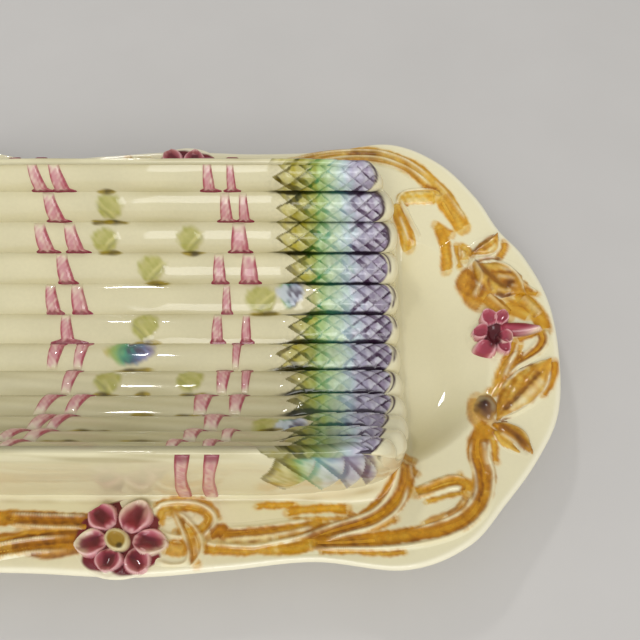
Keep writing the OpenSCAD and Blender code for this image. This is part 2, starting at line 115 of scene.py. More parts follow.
# Matt painted table top: a faint cloudiness about 60 mm across keeps it from looking empty
half_table = 3.0
corners = [(a*half_table, b*half_table, 0) for a, b in ((-1, -1), (1, -1), (1, 1), (-1, 1))]
table_mesh = bpy.data.meshes.new("table_top")
table_mesh.from_pydata(corners, [], [(0, 1, 2, 3)])
table_top = bpy.data.objects.new("table_top", table_mesh)
scene.collection.objects.link(table_top)
matt_paint, tree = new_material("matt_table_paint")
coords = add(tree, "ShaderNodeTexCoord")
cloud = add(tree, "ShaderNodeTexNoise", {"Vector": coords.outputs["Object"], "Scale": 16.0, "Detail": 3.0})
pale_grey, paler_grey = (*linear("#c4c1bd"), 1), (*linear("#cbc8c4"), 1)
tone = add(tree, "ShaderNodeMix", {"Factor": cloud.outputs["Fac"], "A": pale_grey, "B": paler_grey},
           data_type="RGBA")
skin = add(tree, "ShaderNodeBsdfPrincipled", {"Base Color": tone.outputs["Result"], "Roughness": 0.85})
add(tree, "ShaderNodeOutputMaterial", {"Surface": skin.outputs["BSDF"]})
table_mesh.materials.append(matt_paint)


# Dish: one moulded sheet of cream earthenware with a wavy rim, a well at each end and a seat for the
# bundle in its middle. It is dipped in a clear yellowish lead glaze, which is thin and pale on the
# edges, pools darker in the wells, where painted shade darkens them further, and carries the amber
# brush strokes round the sprigs.
bundle_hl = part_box("cradle_shell")[1].x/mm
bundle_hw, bundle_power = 79.45, 8
well_hl, well_power = 165, 2.8
dish_hl, dish_hw = 198, 115.95
floor_z, rim_z, rim_slope, cove_w = 9, 21, 0.25, 26
dish_wall, foot_h, seat_z, seat_edge = 5.5, 3.5, 8.6, 6
lip_r = 2.2
crease_w, corner_w, corner_turn, corner_spread = 3.2, 8, radians(36), radians(9)
outline_shares = [
    (0, -1), (0.2, -0.975), (0.395, -0.945), (0.59, -0.98), (0.73, -0.895), (0.825, -0.73),
    (0.91, -0.555), (0.975, -0.36), (1, -0.105), (0.995, 0.17), (0.95, 0.395), (0.89, 0.545),
    (0.835, 0.715), (0.74, 0.895), (0.605, 1.005), (0.43, 0.985), (0.225, 0.985)]
cream, pale_cream, pool_and_shade_cream, crease_brown = map(linear, ("#e5ddb8", "#eee8cf", "#b3a673", "#a98f4f"))


def smooth(low, high, x):
    """Share from 0 at low to 1 at high, with a flat start and end."""
    t = np.clip((x - low)/(high - low), 0, 1)
    return t*t*(3 - 2*t)


def hump(x, middle, width):
    """1 at the middle, from where it falls off as exp(-((x - middle)/width)^2)."""
    return np.exp(-((x - middle)/width)**2)


def blend(a, b, share):
    """Colour a where share is 0 and b where it is 1."""
    return a + (b - a)*np.asarray(share)[..., None]


def shades(x, stops, colours):
    """Colour at x, along hex colours that stand at the stops."""
    table = np.array([linear(c) for c in colours])
    return np.stack([np.interp(x, stops, table[:, i]) for i in range(3)], -1)


hand = np.random.default_rng(11).uniform(-1, 1, (9, 3))


def ripple(x, y, size):
    """Unevenness of the hand: nine sine waves in seeded directions, 1.3 to 4.5 times size mm long."""
    return sum(np.sin((a*x + b*y)*4/size + 9*c) for a, b, c in hand)/4.5


def through(points, steps, closed=False):
    """Catmull-Rom curve: each stretch is the cubic that leaves and meets its points along the line
    between their neighbours."""
    p = np.asarray(points, float)
    if closed:
        p = np.vstack([p[-1], p, p[:2]])
    else:
        p = np.vstack([2*p[0] - p[1], p, 2*p[-1] - p[-2]])
    a, b, c, d = p[:-3], p[1:-2], p[2:-1], p[3:]
    t = (np.arange(steps)/steps)[:, None, None]
    q = (2*b + (c - a)*t + (2*a - 5*b + 4*c - d)*t**2 + (3*b - a - 3*c + d)*t**3)/2
    q = q.transpose(1, 0, 2).reshape(-1, p.shape[1])
    return q if closed else np.vstack([q, p[-2]])


def oval_r(t, a, b, n):
    """Radius of a superellipse at bearing t: (|cos t|/a)^n + (|sin t|/b)^n, to the power -1/n."""
    return ((np.abs(np.cos(t))/a)**n + (np.abs(np.sin(t))/b)**n)**(-1/n)


def bundle_r(t):
    return oval_r(t, bundle_hl, bundle_hw, bundle_power)


def well_r(t):
    return oval_r(t, well_hl, bundle_hw, well_power)


half_outline = np.array(outline_shares)*(dish_hl, dish_hw)
outline = through(np.vstack([half_outline, -half_outline]), 26, closed=True)
outline_turn = np.arctan2(outline[:, 1], outline[:, 0])
outline_r = np.hypot(outline[:, 0], outline[:, 1])


def rim_and_cove(beyond):
    """Height of the dish's face beyond mm outside the well: the rim climbs outwards at a steady slope,
    and the cove falls to the floor as t*t*(3 - t)/2."""
    fall = np.clip(1 + beyond/cove_w, 0, 1)
    return np.where(beyond >= 0, rim_z + rim_slope*beyond,
                    floor_z + (rim_z - floor_z)*fall*fall*(3 - fall)/2)


def ground(x, y):
    """Upper face of the dish: rim, cove and floor, and a hollow fillet that climbs to the foot of the
    bundle as the power 2.2 of the nearness, widest at its four corners."""
    t, r = np.arctan2(y, x), np.hypot(x, y)
    to_corner = np.abs(np.arcsin(np.abs(np.sin(t))) - corner_turn)
    width = crease_w + corner_w*hump(to_corner, 0, corner_spread)
    near = np.clip(1 - (r - bundle_r(t))/width, 0, 1)
    return rim_and_cove(r - well_r(t)) + 0.9*width*near**2.2


def underneath(t, r):
    """Lower face of the dish: flat at the foot's height, then steeply up to dish_wall below its face."""
    run = np.maximum(0, r - bundle_r(t) - dish_wall/2)
    ramp = foot_h + run*(rim_z - floor_z)/dish_wall
    return np.maximum(foot_h, np.minimum(ramp, rim_and_cove(r - well_r(t)) - dish_wall))


def with_depth(colour, depth):
    """Colour with a fourth number beside it: how much the glaze's tone wavers there."""
    return np.concatenate([colour, (depth + 0*colour[..., 0])[..., None]], -1)


def plain(tone, shape):
    """One colour over a whole grid of that shape, with a tone that doesn't waver."""
    return np.broadcast_to((*tone, 0), shape[:2] + (4,))


def skin_of(name, shells, material, nodes):
    """Object from closed shells. Each shell is (rings, paint): rings[i, j] is point j of ring i in mm,
    joined to its neighbours round the ring and to the next ring. A last ring like the first closes a
    loop, and otherwise one face lies across each end. A shell whose enclosed volume comes out negative
    is turned the right way round."""
    points, faces, paints = [], [], []
    for rings, paint in shells:
        looped = np.allclose(rings[0], rings[-1])
        if paint.shape[-1] == 3:
            paint = with_depth(paint, 0)
        paint = np.broadcast_to(paint, rings.shape[:2] + (4,))
        rings, paint = (rings[:-1], paint[:-1]) if looped else (rings, paint)
        n, m = rings.shape[:2]
        grid = np.arange(n*m).reshape(n, m)
        a, d = (grid, np.roll(grid, -1, 0)) if looped else (grid[:-1], grid[1:])
        b, c = np.roll(a, -1, 1), np.roll(d, -1, 1)
        quads = np.stack([a, b, c, d], -1).reshape(-1, 4)
        flat = rings.reshape(-1, 3)
        centre = flat.mean(0)
        p, q, r, s = (flat[quads[:, i]] - centre for i in range(4))
        volume = (np.cross(p, q)*r + np.cross(p, r)*s).sum()
        ends = [] if looped else [grid[0, ::-1], grid[-1]]
        if volume < 0:
            quads, ends = quads[:, ::-1], [e[::-1] for e in ends]
        start = sum(len(x) for x in points)
        faces += (quads + start).tolist() + [(e + start).tolist() for e in ends]
        points.append(flat)
        paints.append(paint.reshape(-1, 4))
    mesh = bpy.data.meshes.new(name)
    mesh.from_pydata((np.vstack(points)*mm).tolist(), [], faces)
    mesh.polygons.foreach_set("use_smooth", np.ones(len(mesh.polygons), bool))
    colour = mesh.color_attributes.new("paint", "FLOAT_COLOR", "POINT")
    colour.data.foreach_set("color", np.vstack(paints).astype("f").ravel())
    mesh.materials.append(material)
    mesh.update()
    made = bpy.data.objects.new(name, mesh)
    scene.collection.objects.link(made)
    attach(made, "root")
    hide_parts(*nodes)
    return made


def lead_glaze(name, mottle, dull):
    """Painted earthenware under clear lead glaze: the colours lie below a wet, sharp gloss, the tone
    drifts over about 20 mm and again over 1.8 mm, and the surface is slightly uneven from the mould.
    mottle is how far the tone drifts, and dull is the roughness of the colour under the gloss."""
    made, tree = new_material(name)
    paint = add(tree, "ShaderNodeAttribute", attribute_name="paint")
    coords = add(tree, "ShaderNodeTexCoord").outputs["Object"]
    drift = add(tree, "ShaderNodeTexNoise", {"Vector": coords, "Scale": 1/(20*mm), "Detail": 4.0})
    grains = add(tree, "ShaderNodeTexNoise", {"Vector": coords, "Scale": 1/(1.8*mm), "Detail": 4.0})
    both = add(tree, "ShaderNodeMath", {0: drift.outputs["Fac"], 1: grains.outputs["Fac"]}, operation="ADD")
    swing = add(tree, "ShaderNodeMath", {0: paint.outputs["Alpha"], 1: 1.9, 2: mottle},
                operation="MULTIPLY_ADD")
    light = add(tree, "ShaderNodeMath", {0: both.outputs["Value"], 1: 1.0}, operation="SUBTRACT")
    level = add(tree, "ShaderNodeMath", {0: light.outputs["Value"], 1: swing.outputs["Value"], 2: 1.0},
                operation="MULTIPLY_ADD")
    colour = add(tree, "ShaderNodeVectorMath", {
        0: paint.outputs["Color"], "Scale": level.outputs["Value"]}, operation="SCALE")
    waves = add(tree, "ShaderNodeTexNoise", {"Vector": coords, "Scale": 1/(14*mm), "Detail": 2.0})
    broad = add(tree, "ShaderNodeBump", {
        "Height": waves.outputs["Fac"], "Strength": 0.25, "Distance": 0.8*mm})
    pores = add(tree, "ShaderNodeTexNoise", {"Vector": coords, "Scale": 1/(1.1*mm), "Detail": 2.0})
    fine = add(tree, "ShaderNodeBump", {
        "Height": pores.outputs["Fac"], "Strength": 0.12, "Distance": 0.06*mm,
        "Normal": broad.outputs["Normal"]})
    skin = add(tree, "ShaderNodeBsdfPrincipled", {
        "Base Color": colour.outputs["Vector"], "Roughness": dull, "IOR": 1.5, "Specular IOR Level": 0.05,
        "Normal": fine.outputs["Normal"], "Coat Weight": 0.8, "Coat Roughness": 0.04, "Coat IOR": 1.48})
    add(tree, "ShaderNodeOutputMaterial", {"Surface": skin.outputs["BSDF"]})
    return made


amber_stops = (0, 0.18, 0.4, 0.62, 0.82, 1)
amber_shades = ("#633602", "#975b03", "#ba7d0c", "#cd9722", "#d9b249", "#e0cb87")
near_mm, far_mm = 12, 99.0


def amber_at(level, x, y):
    """Amber glaze: brown where it pools, golden, then pale where it thins, mottled by hand."""
    level = level + 0.09*ripple(x, y, 2.6) + 0.07*ripple(x, y, 8)
    return shades(np.clip(level, 0, 1), amber_stops, amber_shades)


def gap_to(x, y, points):
    """Distance in mm from each place to a line through the points, and its share along the line.
    Places more than near_mm outside the line's box are given far_mm."""
    line = through(np.array(points, float), 14)
    low, high = line.min(0) - near_mm, line.max(0) + near_mm
    near = (x > low[0]) & (x < high[0]) & (y > low[1]) & (y < high[1])
    gap, share = np.full(x.shape, far_mm), np.zeros(x.shape)
    if near.any():
        far = np.hypot(x[near][:, None] - line[:, 0], y[near][:, None] - line[:, 1])
        closest = far.argmin(1)
        gap[near], share[near] = far.min(1), closest/(len(line) - 1)
    return gap, share


# Amber washes on the right half of the rim, each brushed along a line: points in mm, half width, glaze
# level from brown (0) to pale gold (1), and strength. They show again half a turn round.
washes = [
    ([(22, -97), (34, -100), (48, -100), (60, -100)], 4.6, 0.76, 0.78),
    ([(30, -104), (45, -105), (60, -104.5), (74, -103.5)], 2, 0.54, 0.98),
    ([(38, -97.3), (50, -96.3), (62, -95.5), (72, -94), (82, -92)], 2, 0.44, 0.98),
    ([(32, -97), (36, -95.5), (38.5, -97)], 3, 0.26, 1),
    ([(62, -99), (74, -97.5)], 1.6, 0.4, 0.78),
    ([(72, -100.5), (80, -97.5), (90, -94.8), (100, -91.8), (110, -87), (116, -81.5), (119.5, -74),
        (121, -64)], 3.6, 0.38, 1),
    ([(102, -95.5), (108, -93.5), (114, -91)], 1.7, 0.4, 0.93),
    ([(98, -89.5), (103, -86), (108, -81), (112, -76), (114.5, -71), (115.5, -67)], 1.5, 0.4, 1),
    ([(118, -60.5), (121, -61), (124, -62)], 2, 0.44, 0.93),
    ([(118, -67), (122, -67.5), (125.5, -69.5)], 1.8, 0.42, 0.93),
    ([(52, -84.2), (60, -83.8), (69, -84)], 1.7, 0.59, 1),
    ([(66, -87), (74, -86), (84, -85.5), (92.5, -86)], 2.2, 0.54, 1),
    ([(68, -90.2), (80, -90.4), (91, -90.6)], 0.9, 0.46, 0.88),
    ([(93, -88), (97, -90)], 1.3, 0.34, 0.88),
    ([(76, -101.5), (88, -101.5), (103, -100.5), (116, -99), (128, -97.3), (138, -95), (146, -91),
        (151, -84.5), (153.5, -78)], 3.4, 0.42, 1),
    ([(81, -105.6), (95, -105.8), (108, -106.8), (117, -106.4)], 1.1, 0.54, 0.98),
    ([(62, -104.5), (70, -104), (76, -102.5)], 2.6, 0.54, 0.93),
    ([(153.5, -79), (155, -70), (154, -62), (154.5, -55), (158, -49), (161, -46)], 4.8, 0.4, 1),
    ([(161.5, -53), (161.2, -65)], 1.6, 0.54, 0.98),
    ([(124, -79), (130, -77), (136.5, -74.5), (142, -73.3), (146.5, -75), (146.5, -79)], 2.7, 0.54, 1),
    ([(128, -83.5), (134, -81.8), (140, -80.2), (145, -79.5)], 1.2, 0.54, 0.98),
    ([(146, -81), (143, -86), (138, -89), (132, -91.5), (126, -93.5)], 1.6, 0.46, 0.88),
    ([(144.5, -70), (144.5, -74)], 1.3, 0.44, 0.88),
    ([(157, -30), (155, -37), (156, -44), (158, -46.5)], 3, 0.39, 0.83),
    ([(163, -29), (167, -27), (168.5, -22), (172, -16)], 3, 0.59, 0.93),
    ([(177.5, -2), (174, -9), (170, -18), (167, -26)], 1.7, 0.54, 0.98),
    ([(180.5, -4), (178.5, -11), (174, -17)], 1.2, 0.54, 0.88),
    ([(190.5, 3), (191, -3), (187.5, -8), (182, -11), (177, -14), (172, -20)], 2.3, 0.42, 1),
    ([(179.5, -1.5), (185, 0.5), (190.5, 3)], 1.5, 0.44, 0.98),
    ([(187, -32), (191, -27), (194, -20), (194.6, -15)], 1.8, 0.42, 1),
    ([(143, 68), (147, 65), (151, 62)], 2.4, 0.49, 0.98),
    ([(145, 66), (147, 60), (148.5, 54), (148.5, 47), (148.5, 43.5)], 2.8, 0.56, 1),
    ([(153.5, 56), (153.5, 49), (155, 43)], 1.4, 0.52, 0.98),
    ([(156, 55.5), (159.5, 53), (161.5, 49)], 1.5, 0.49, 0.98),
    ([(157.5, 54), (157.5, 47)], 2, 0.66, 0.88),
    ([(161, 40), (157, 36.5), (158, 32), (160, 28)], 4.2, 0.38, 0.98),
    ([(163, 27), (168, 23), (172, 17), (176, 12)], 3.4, 0.56, 0.98),
    ([(180, 22), (185, 20), (189, 14), (191.5, 8), (192, 3)], 4, 0.56, 1),
    ([(176, 20), (181, 15), (186, 11.5)], 3.4, 0.59, 0.98),
    ([(175, 46.5), (178, 51), (178, 54.5)], 1.9, 0.54, 0.98),
    ([(185.5, 30), (188, 25), (191.5, 23)], 1.6, 0.52, 1),
    ([(22, 90), (32, 90.4), (42, 91)], 2.2, 0.2, 0.98),
    ([(28, 97.5), (44, 98.5), (60, 100.5), (76, 104)], 3.2, 0.34, 0.98),
    ([(159, 29), (160, 24), (164, 20)], 3.4, 0.46, 0.93),
    ([(26, 99), (45, 101), (62, 105), (84, 109.5), (100, 110.5), (113, 109), (128, 103), (137, 96),
        (145, 87), (150, 80), (157, 66)], 4.4, 0.7, 1),
    ([(138, 90), (144, 87)], 1.6, 0.24, 0.98),
    ([(147, 84), (150, 77), (154, 71), (157.5, 65)], 4, 0.64, 0.98),
    ([(127, 83.5), (134, 84), (144, 83.5)], 3.6, 0.74, 1),
    ([(122.5, 78), (125, 70), (127.5, 63), (129, 58.5)], 3.4, 0.59, 1),
    ([(22, 91.5), (35, 91), (50, 90), (64, 90), (76, 92)], 3.8, 0.48, 0.98),
    ([(24, 102), (34, 105), (44, 104)], 3.4, 0.24, 0.93),
    ([(6, -83.5), (11, -81.3), (18, -80.3), (26, -81.2), (32, -84.5), (35.5, -90)], 0.9, 0.49, 0.93),
    ([(9, -92), (10, -86), (17, -84.5), (26, -85.5), (31, -90), (27, -95), (17, -96.5)], 2, 0.66, 0.98),
    ([(14, -86), (18, -91), (21, -96)], 1.6, 0.54, 0.93),
    ([(14, -103), (20, -104), (22.5, -101)], 3.4, 0.54, 0.93),
    ([(23.5, -99), (25.5, -106), (28, -111)], 2, 0.46, 0.88),
    ([(14, 95), (30, 95.5), (48, 97)], 6.2, 0.34, 0.83),
    ([(18, 98), (36, 99), (54, 101.5)], 3, 0.16, 0.93),
    ([(18, 90.5), (38, 90), (56, 89.5)], 2.6, 0.16, 0.93),
    ([(152.5, -62), (152.5, -74), (149.5, -84)], 1.9, 0.2, 0.98),
]


def dish_paint(x, y, upper=1.0):
    """Cream glaze, paler at the lip, darker in the wells from pooled glaze and painted shade, darker in the
    bundle's crease, and with the washes.
    upper is 1 on the face of the dish and 0 underneath."""
    t, r = np.arctan2(y, x), np.hypot(x, y)
    rim = np.interp(t, *np.array(sorted(zip(outline_turn, outline_r))).T, period=2*pi)
    beyond, outside = r - well_r(t), r - bundle_r(t)
    colour = blend(cream, pale_cream, smooth(4, 1, rim - r)*0.7)
    # Darker on the floor of each well: pooled glaze and painted shade
    pooled = smooth(-6, -24, beyond)*(0.45 + 0.25*ripple(x, y, 40))
    colour = blend(colour, pool_and_shade_cream, np.clip(pooled, 0, 1)*0.6*upper)
    # Painted shade, with pooled yellow glaze: the near half of each well, beside the bundle's corner, is
    # darker
    corner = smooth(-0.15, -0.75, y/bundle_hw)*smooth(108, 132, np.abs(x))
    corner = corner*smooth(2, -8, beyond)*smooth(-46, -24, beyond)
    colour = blend(colour, pool_and_shade_cream, corner*0.6*upper)
    crease = hump(outside, crease_w*0.8, 1.3)*(0.28 + 0.2*ripple(x, y, 9))
    colour = blend(colour, crease_brown, np.clip(crease*smooth(-14, -4, beyond), 0, 1)*upper)
    depth = np.zeros(x.shape)
    for side in (1, -1):
        for points, width, level, strength in washes:
            gap, share = gap_to(side*x, side*y, points)
            fringe = 0.35*ripple(side*x, side*y, 1.7) + 0.5*ripple(side*x, side*y, 5)
            ends = np.clip(np.minimum(share, 1 - share)*22 + 0.6, 0, 1)
            cover = smooth(width + 1.1, width - 0.7, gap + 0.8*fringe)*ends*strength*upper
            pooled = level - 0.13*smooth(0.35, 0.95, gap/width) + 0.12*smooth(0.6, 0, gap/width)
            pooled = pooled + 0.45*(1 - cover)
            colour = blend(colour, amber_at(pooled, side*x, side*y), cover)
            depth = np.maximum(depth, cover*0.3)
    return with_depth(colour, depth)


cream_glaze = lead_glaze("clear_lead_glaze_on_cream_earthenware", 0.05, 0.32)
turn = outline_turn
seat_r = bundle_r(turn)
inner, edge, ramp_r = seat_r - seat_edge, outline_r - lip_r, seat_r + dish_wall/2
flat = np.ones(len(turn))
# Rings of the dish as radius, height, and 1 for the upper face: the seat for the bundle, the face out
# to the rim, half a circle round the lip, and back underneath
rings = [(seat_r*0.03, seat_z*flat, 1), (seat_r*0.9, seat_z*flat, 1), (inner - 0.1, seat_z*flat, 1)]
for s in np.linspace(0, 1, 74):
    r = inner + (edge - inner)*s
    rings.append((r, ground(r*np.cos(turn), r*np.sin(turn)), 1))
lip_z = rings[-1][1] - lip_r
for a in np.linspace(pi/2, -pi/2, 9)[1:]:
    rings.append((edge + lip_r*cos(a), lip_z + lip_r*sin(a), int(a > 0)))
for s in (1 - np.linspace(0, 1, 15)[1:]**0.8):
    r = ramp_r + (edge - dish_wall*0.3 - ramp_r)*s
    rings.append((r, underneath(turn, r), 0))
rings += [(seat_r*0.5, foot_h*flat, 0), (seat_r*0.03, foot_h*flat, 0)]
dish_rings = np.stack([np.stack([r*np.cos(turn), r*np.sin(turn), z], -1) for r, z, _ in rings])
upper = np.array([face for _, _, face in rings])[:, None]*flat
skin_of("glazed_dish", [(dish_rings, dish_paint(dish_rings[..., 0], dish_rings[..., 1], upper))],
        cream_glaze, ["dish"])


# Foot ring: a low oval ring under the dish, of the same clay. The face that it stands on is wiped bare
# before firing and shows matt buff biscuit, and its sides keep a thin sandy film of the cream glaze.
foot_hl, foot_hw, foot_power, foot_w = bundle_hl + 6.45, bundle_hw*0.78, 2.6, 6
biscuit = linear("#cdb893")
around = np.linspace(0, 2*pi, 240, endpoint=False)
foot_r = oval_r(around, foot_hl, foot_hw, foot_power)
foot_profile = [(-0.4, foot_h), (0, 2.2), (-0.3, 0.7), (-1.1, 0), (-foot_w + 1.1, 0), (-foot_w + 0.3, 0.7),
                (-foot_w, 2.2), (-foot_w + 0.4, foot_h)]
foot_rings = np.stack([
    np.stack([(foot_r + out)*np.cos(around), (foot_r + out)*np.sin(around), 0*around + z], -1)
    for out, z in [*foot_profile, foot_profile[0]]])
bare = smooth(1.2, 0.4, foot_rings[..., 2])


def bare_biscuit():
    """Fired bare clay: matt and sandy. Grains about 0.6 mm across show through the painted colour."""
    made, tree = new_material("wiped_biscuit_foot")
    paint = add(tree, "ShaderNodeAttribute", attribute_name="paint")
    coords = add(tree, "ShaderNodeTexCoord").outputs["Object"]
    grit = add(tree, "ShaderNodeTexNoise", {"Vector": coords, "Scale": 1/(0.6*mm), "Detail": 3.0})
    speckled = add(tree, "ShaderNodeMix", {
        "Factor": grit.outputs["Fac"], "A": paint.outputs["Color"], "B": (*biscuit, 1)}, data_type="RGBA")
    bump = add(tree, "ShaderNodeBump", {"Height": grit.outputs["Fac"], "Strength": 0.3, "Distance": 0.1*mm})
    skin = add(tree, "ShaderNodeBsdfPrincipled", {
        "Base Color": speckled.outputs["Result"], "Roughness": 0.7, "Normal": bump.outputs["Normal"]})
    add(tree, "ShaderNodeOutputMaterial", {"Surface": skin.outputs["BSDF"]})
    return made


skin_of("wiped_foot_ring", [(foot_rings, blend(cream, biscuit, bare))], bare_biscuit(),
        ["foot_ring"])


# Cradle: the hollow trough under the spears, moulded by itself and joined to the dish with slip. Its
# end walls are glazed cream and run down from the spears' ends, with shallow flutes that follow them.
spear_pitch, trough_r, trough_turn, trough_z = 16.1, 74, radians(56), 17.7
spear_t, side_t, end_t, end_gap, seat_lap = 3, 3, 2.6, 0.2, 1
bed_top, bed_low, bed_inset = 3.05, 6.4, 4
tip_round, butt_round, tip_scallop, butt_nick, scallop_fade = 5, 2, 5, 1.4, 13
groove_count = 6


def groove(k):
    """Groove k, counted from the middle: steps of one pitch along an arc, then along its tangent.
    Gives its place across the object and the way out of the trough there."""
    s, arc = abs(k)*spear_pitch, trough_r*trough_turn
    turned, rest = min(s, arc)/trough_r, max(0, s - arc)
    y = trough_r*sin(turned) + rest*cos(turned)
    z = trough_z + trough_r*(1 - cos(turned)) + rest*sin(turned)
    out = np.array([sin(turned), -cos(turned)]) if abs(k) < groove_count else np.array([0, -1])
    flip = -1 if k < 0 else 1
    return np.array([flip*y, z]), out*(flip, 1)


def reach(y):
    """How far the bundle's outline reaches along the object at y."""
    return bundle_hl*(1 - np.minimum(np.abs(y)/bundle_hw, 1)**bundle_power)**(1/bundle_power)


crest_y, crest_z = groove(groove_count)[0]
share_across = np.sin(np.linspace(-1, 1, 45)*1.35)/sin(1.35)


def spear_base(k):
    """Chord of the spear between grooves k and k + 1: its points, the way out of the trough at each,
    and the spear's own upward direction, all across the object."""
    (a, out_a), (b, out_b) = groove(k), groove(k + 1)
    t = (share_across[:, None] + 1)/2
    out = out_a + (out_b - out_a)*t
    along = (b - a)/np.linalg.norm(b - a)
    return a + (b - a)*t, out/np.linalg.norm(out, axis=1)[:, None], np.array([-along[1], along[0]])


def end_scallop(k, tip):
    """How far each point of the spear's end stands back from the outline: the tips are round in plan,
    the cut butts only nicked at the grooves. The crest's own edge stays nearly full."""
    q = np.abs(share_across)
    back = tip_scallop*(1 - np.sqrt(1 - 0.99*q**2)) if tip else butt_nick*q**6
    at_crest = (share_across > 0)*(k == groove_count - 1) + (share_across < 0)*(k == -groove_count)
    return back*np.where(at_crest, 0.2, 1)


def end_wall_columns(k, tip):
    """Top of the end wall under one spear: its place, the outline there, and the scallop."""
    base, out, _ = spear_base(k)
    low = base + out*(tip_round if tip else butt_round)
    return low, reach(low[:, 0]) - end_gap, end_scallop(k, tip)


def end_wall(tip):
    """End wall of the cradle: each column runs straight down from a spear's rounded end to the seat
    and comes out to the outline as the scallop fades. The inner face is end_t behind the outer one."""
    tops = [end_wall_columns(k, tip) for k in range(-groove_count, groove_count)]
    low, far, back = (np.concatenate([t[i] for t in tops]) for i in range(3))
    keep = np.r_[True, np.abs(np.diff(low[:, 0])) > 1e-6]
    low, far, back = low[keep], far[keep], back[keep]
    rows = np.linspace(0, 1, 30)**1.5
    top = low[:, 1, None]
    z = top + (seat_z - seat_lap - top)*rows
    x = far[:, None] - back[:, None]*(1 - smooth(0, scallop_fade, top - z)) - 0.15
    outer = np.stack([x, low[:, 0, None] + 0*z, z], -1)
    inner = (outer - (end_t, 0, 0))[:, ::-1]
    return np.concatenate([outer, inner], 1)*(1 if tip else -1, 1, 1)


def wall_paint(points):
    """Cream, darker towards the foot of the wall."""
    low = smooth(34, 10, points[..., 2])*(0.35 + 0.2*ripple(points[..., 1], points[..., 2], 25))
    return blend(cream, pool_and_shade_cream, np.clip(low, 0, 1)*0.6)


def trough_bed():
    """Inner shell: an arc sheet at bed_top under the grooves, closed by one at bed_low under them."""
    loop = np.vstack([through([groove(k)[0] + groove(k)[1]*depth for k in range(-5, 6)], 6)[::way]
                      for depth, way in ((bed_top, 1), (bed_low, -1))])
    x = np.linspace(-1, 1, 40)[:, None]*(reach(loop[:, 0]) - bed_inset)
    return np.stack([x, loop[:, 0] + 0*x, loop[:, 1] + 0*x], -1)


walls = [end_wall(True), end_wall(False), trough_bed()]
skin_of("glazed_cradle_walls", [(w, wall_paint(w)) for w in walls], cream_glaze,
        ["cradle_shell"])


# Spears: twelve stalks of asparagus side by side, each moulded as a curved sheet 3 mm thick. They are
# ivory with a soft groove between them. Each head has overlapping scales under running coloured
# glazes, olive to green, mint, grey-blue and violet at the tip, which pool dark along the lower edges.
stem_rise, head_rise, tip_bulge = 2, 4.4, 6.5
scale_l, tip_scale_l, scale_w, scale_step = 12.3, 7, 8, 0.95
head_starts = [56.6, 58, 57.6, 62.4, 72.7, 63.9, 58, 63.4, 64.4, 71.7, 63.4, 63.4]
violet_ends = [107.9, 112.3, 115.7, 115.7, 117.7, 117.7, 116.7, 115.2, 114.2, 110.3, 108, 105.9]
# The grid along a spear, before its two ends are stretched to meet the bundle's outline
butt_x, tip_x, butt_stretch, tip_stretch = -120, 117, 20, 31
ivory, groove_shade_ivory, tip_cream, shaded_stem = map(linear, ("#d7cfaa", "#aca06a", "#e2dab6", "#8f8148"))
leaf_green, leaf_rib, leaf_dark, leaf_ochre = map(linear, ("#9c9a34", "#c6be6e", "#4a4c0c", "#8f8630"))
milk_and_highlight, straw, scale_lip, olive_film_and_shade = map(linear, ("#d6d6dc", "#d0cb90", "#e4e3cf", "#4c4a1e"))
bud_milk_and_highlight, bud_violet, dash_brown, dash_ochre, hook_violet = map(
    linear, ("#c6cbd6", "#332448", "#4a3a04", "#a08a1e", "#33142c"))
# Colours along a head, by place in mm: of the scales, and of the dark glaze that pools at their edges
scale_stops = (54, 60, 67, 73, 78, 82, 87, 92, 96, 101, 108, 118)
scale_shades = ("#cfc77c", "#baad42", "#aa9c2a", "#a29c36", "#98a74e", "#aac486", "#bfd0aa", "#bccfba",
                "#bccdd0", "#aeaabe", "#9e92a6", "#7c6780")
pool_stops = (54, 64, 71, 77, 82, 88, 93, 98, 106, 118)
pool_shades = ("#75680c", "#463a02", "#2c3202", "#37560e", "#3c8040", "#26836c", "#355f7c", "#46304f",
               "#3f2540", "#301633")
pool_share_stops, pool_shares = (54, 62, 76, 82, 88, 94, 98, 118), (0.85, 1, 1, 0.85, 0.45, 0.5, 0.9, 1)
bud_stops = (0, 0.22, 0.4, 0.55, 0.72, 0.88, 1)
bud_shades = ("#b5a640", "#86a85e", "#349070", "#1f6470", "#64739e", "#8f86ac", "#54456c")
# How thickly the dark glaze lies in the groove above each spear, and last in the one below spear 12.
# Part of it is painted shade, so the near grooves hold the most.
groove_pool_and_shade = (0.1, 0.6, 0.25, 0.75, 0.6, 0.8, 0.9, 1.0, 1.1, 1.3, 1.3, 1.3, 1.2)
# Bract marks: spear, place along it, place across it, length, and 1 for the blue kind, 0 for the green
bracts = [(2, -26, 0, 12, 0), (3, -30, -2, 12, 0), (3, 13.6, -1, 12, 0), (4, -6.5, -0.5, 13, 0),
          (6, -9, 0.5, 13, 0), (8, -23, -1, 12, 0), (8, 17, 0, 12, 0), (5, 50, -0.5, 15, 0),
          (10, 57, -5, 13, 0), (7, -15, 1.5, 22, 1), (5, 65, 2.5, 13, 1), (10, 67, -6, 13, 1)]
# The dark arc painted round each tip: its gap from the scales, half width, and how far down it comes
hooks = [(0.6, 0.9, -0.3), (0.3, 1.3, -1.3), (0.3, 1.2, -1.2), (1.2, 0.7, -0.2), (1.5, 0.7, -0.5),
         (1.6, 0.7, 0), (1.6, 0.8, -0.4), (1.5, 0.9, -0.8), (1.4, 0.9, -0.9), (0.8, 0.9, -0.9),
         (0.6, 0.8, -0.9), (0.5, 0.8, -0.9)]
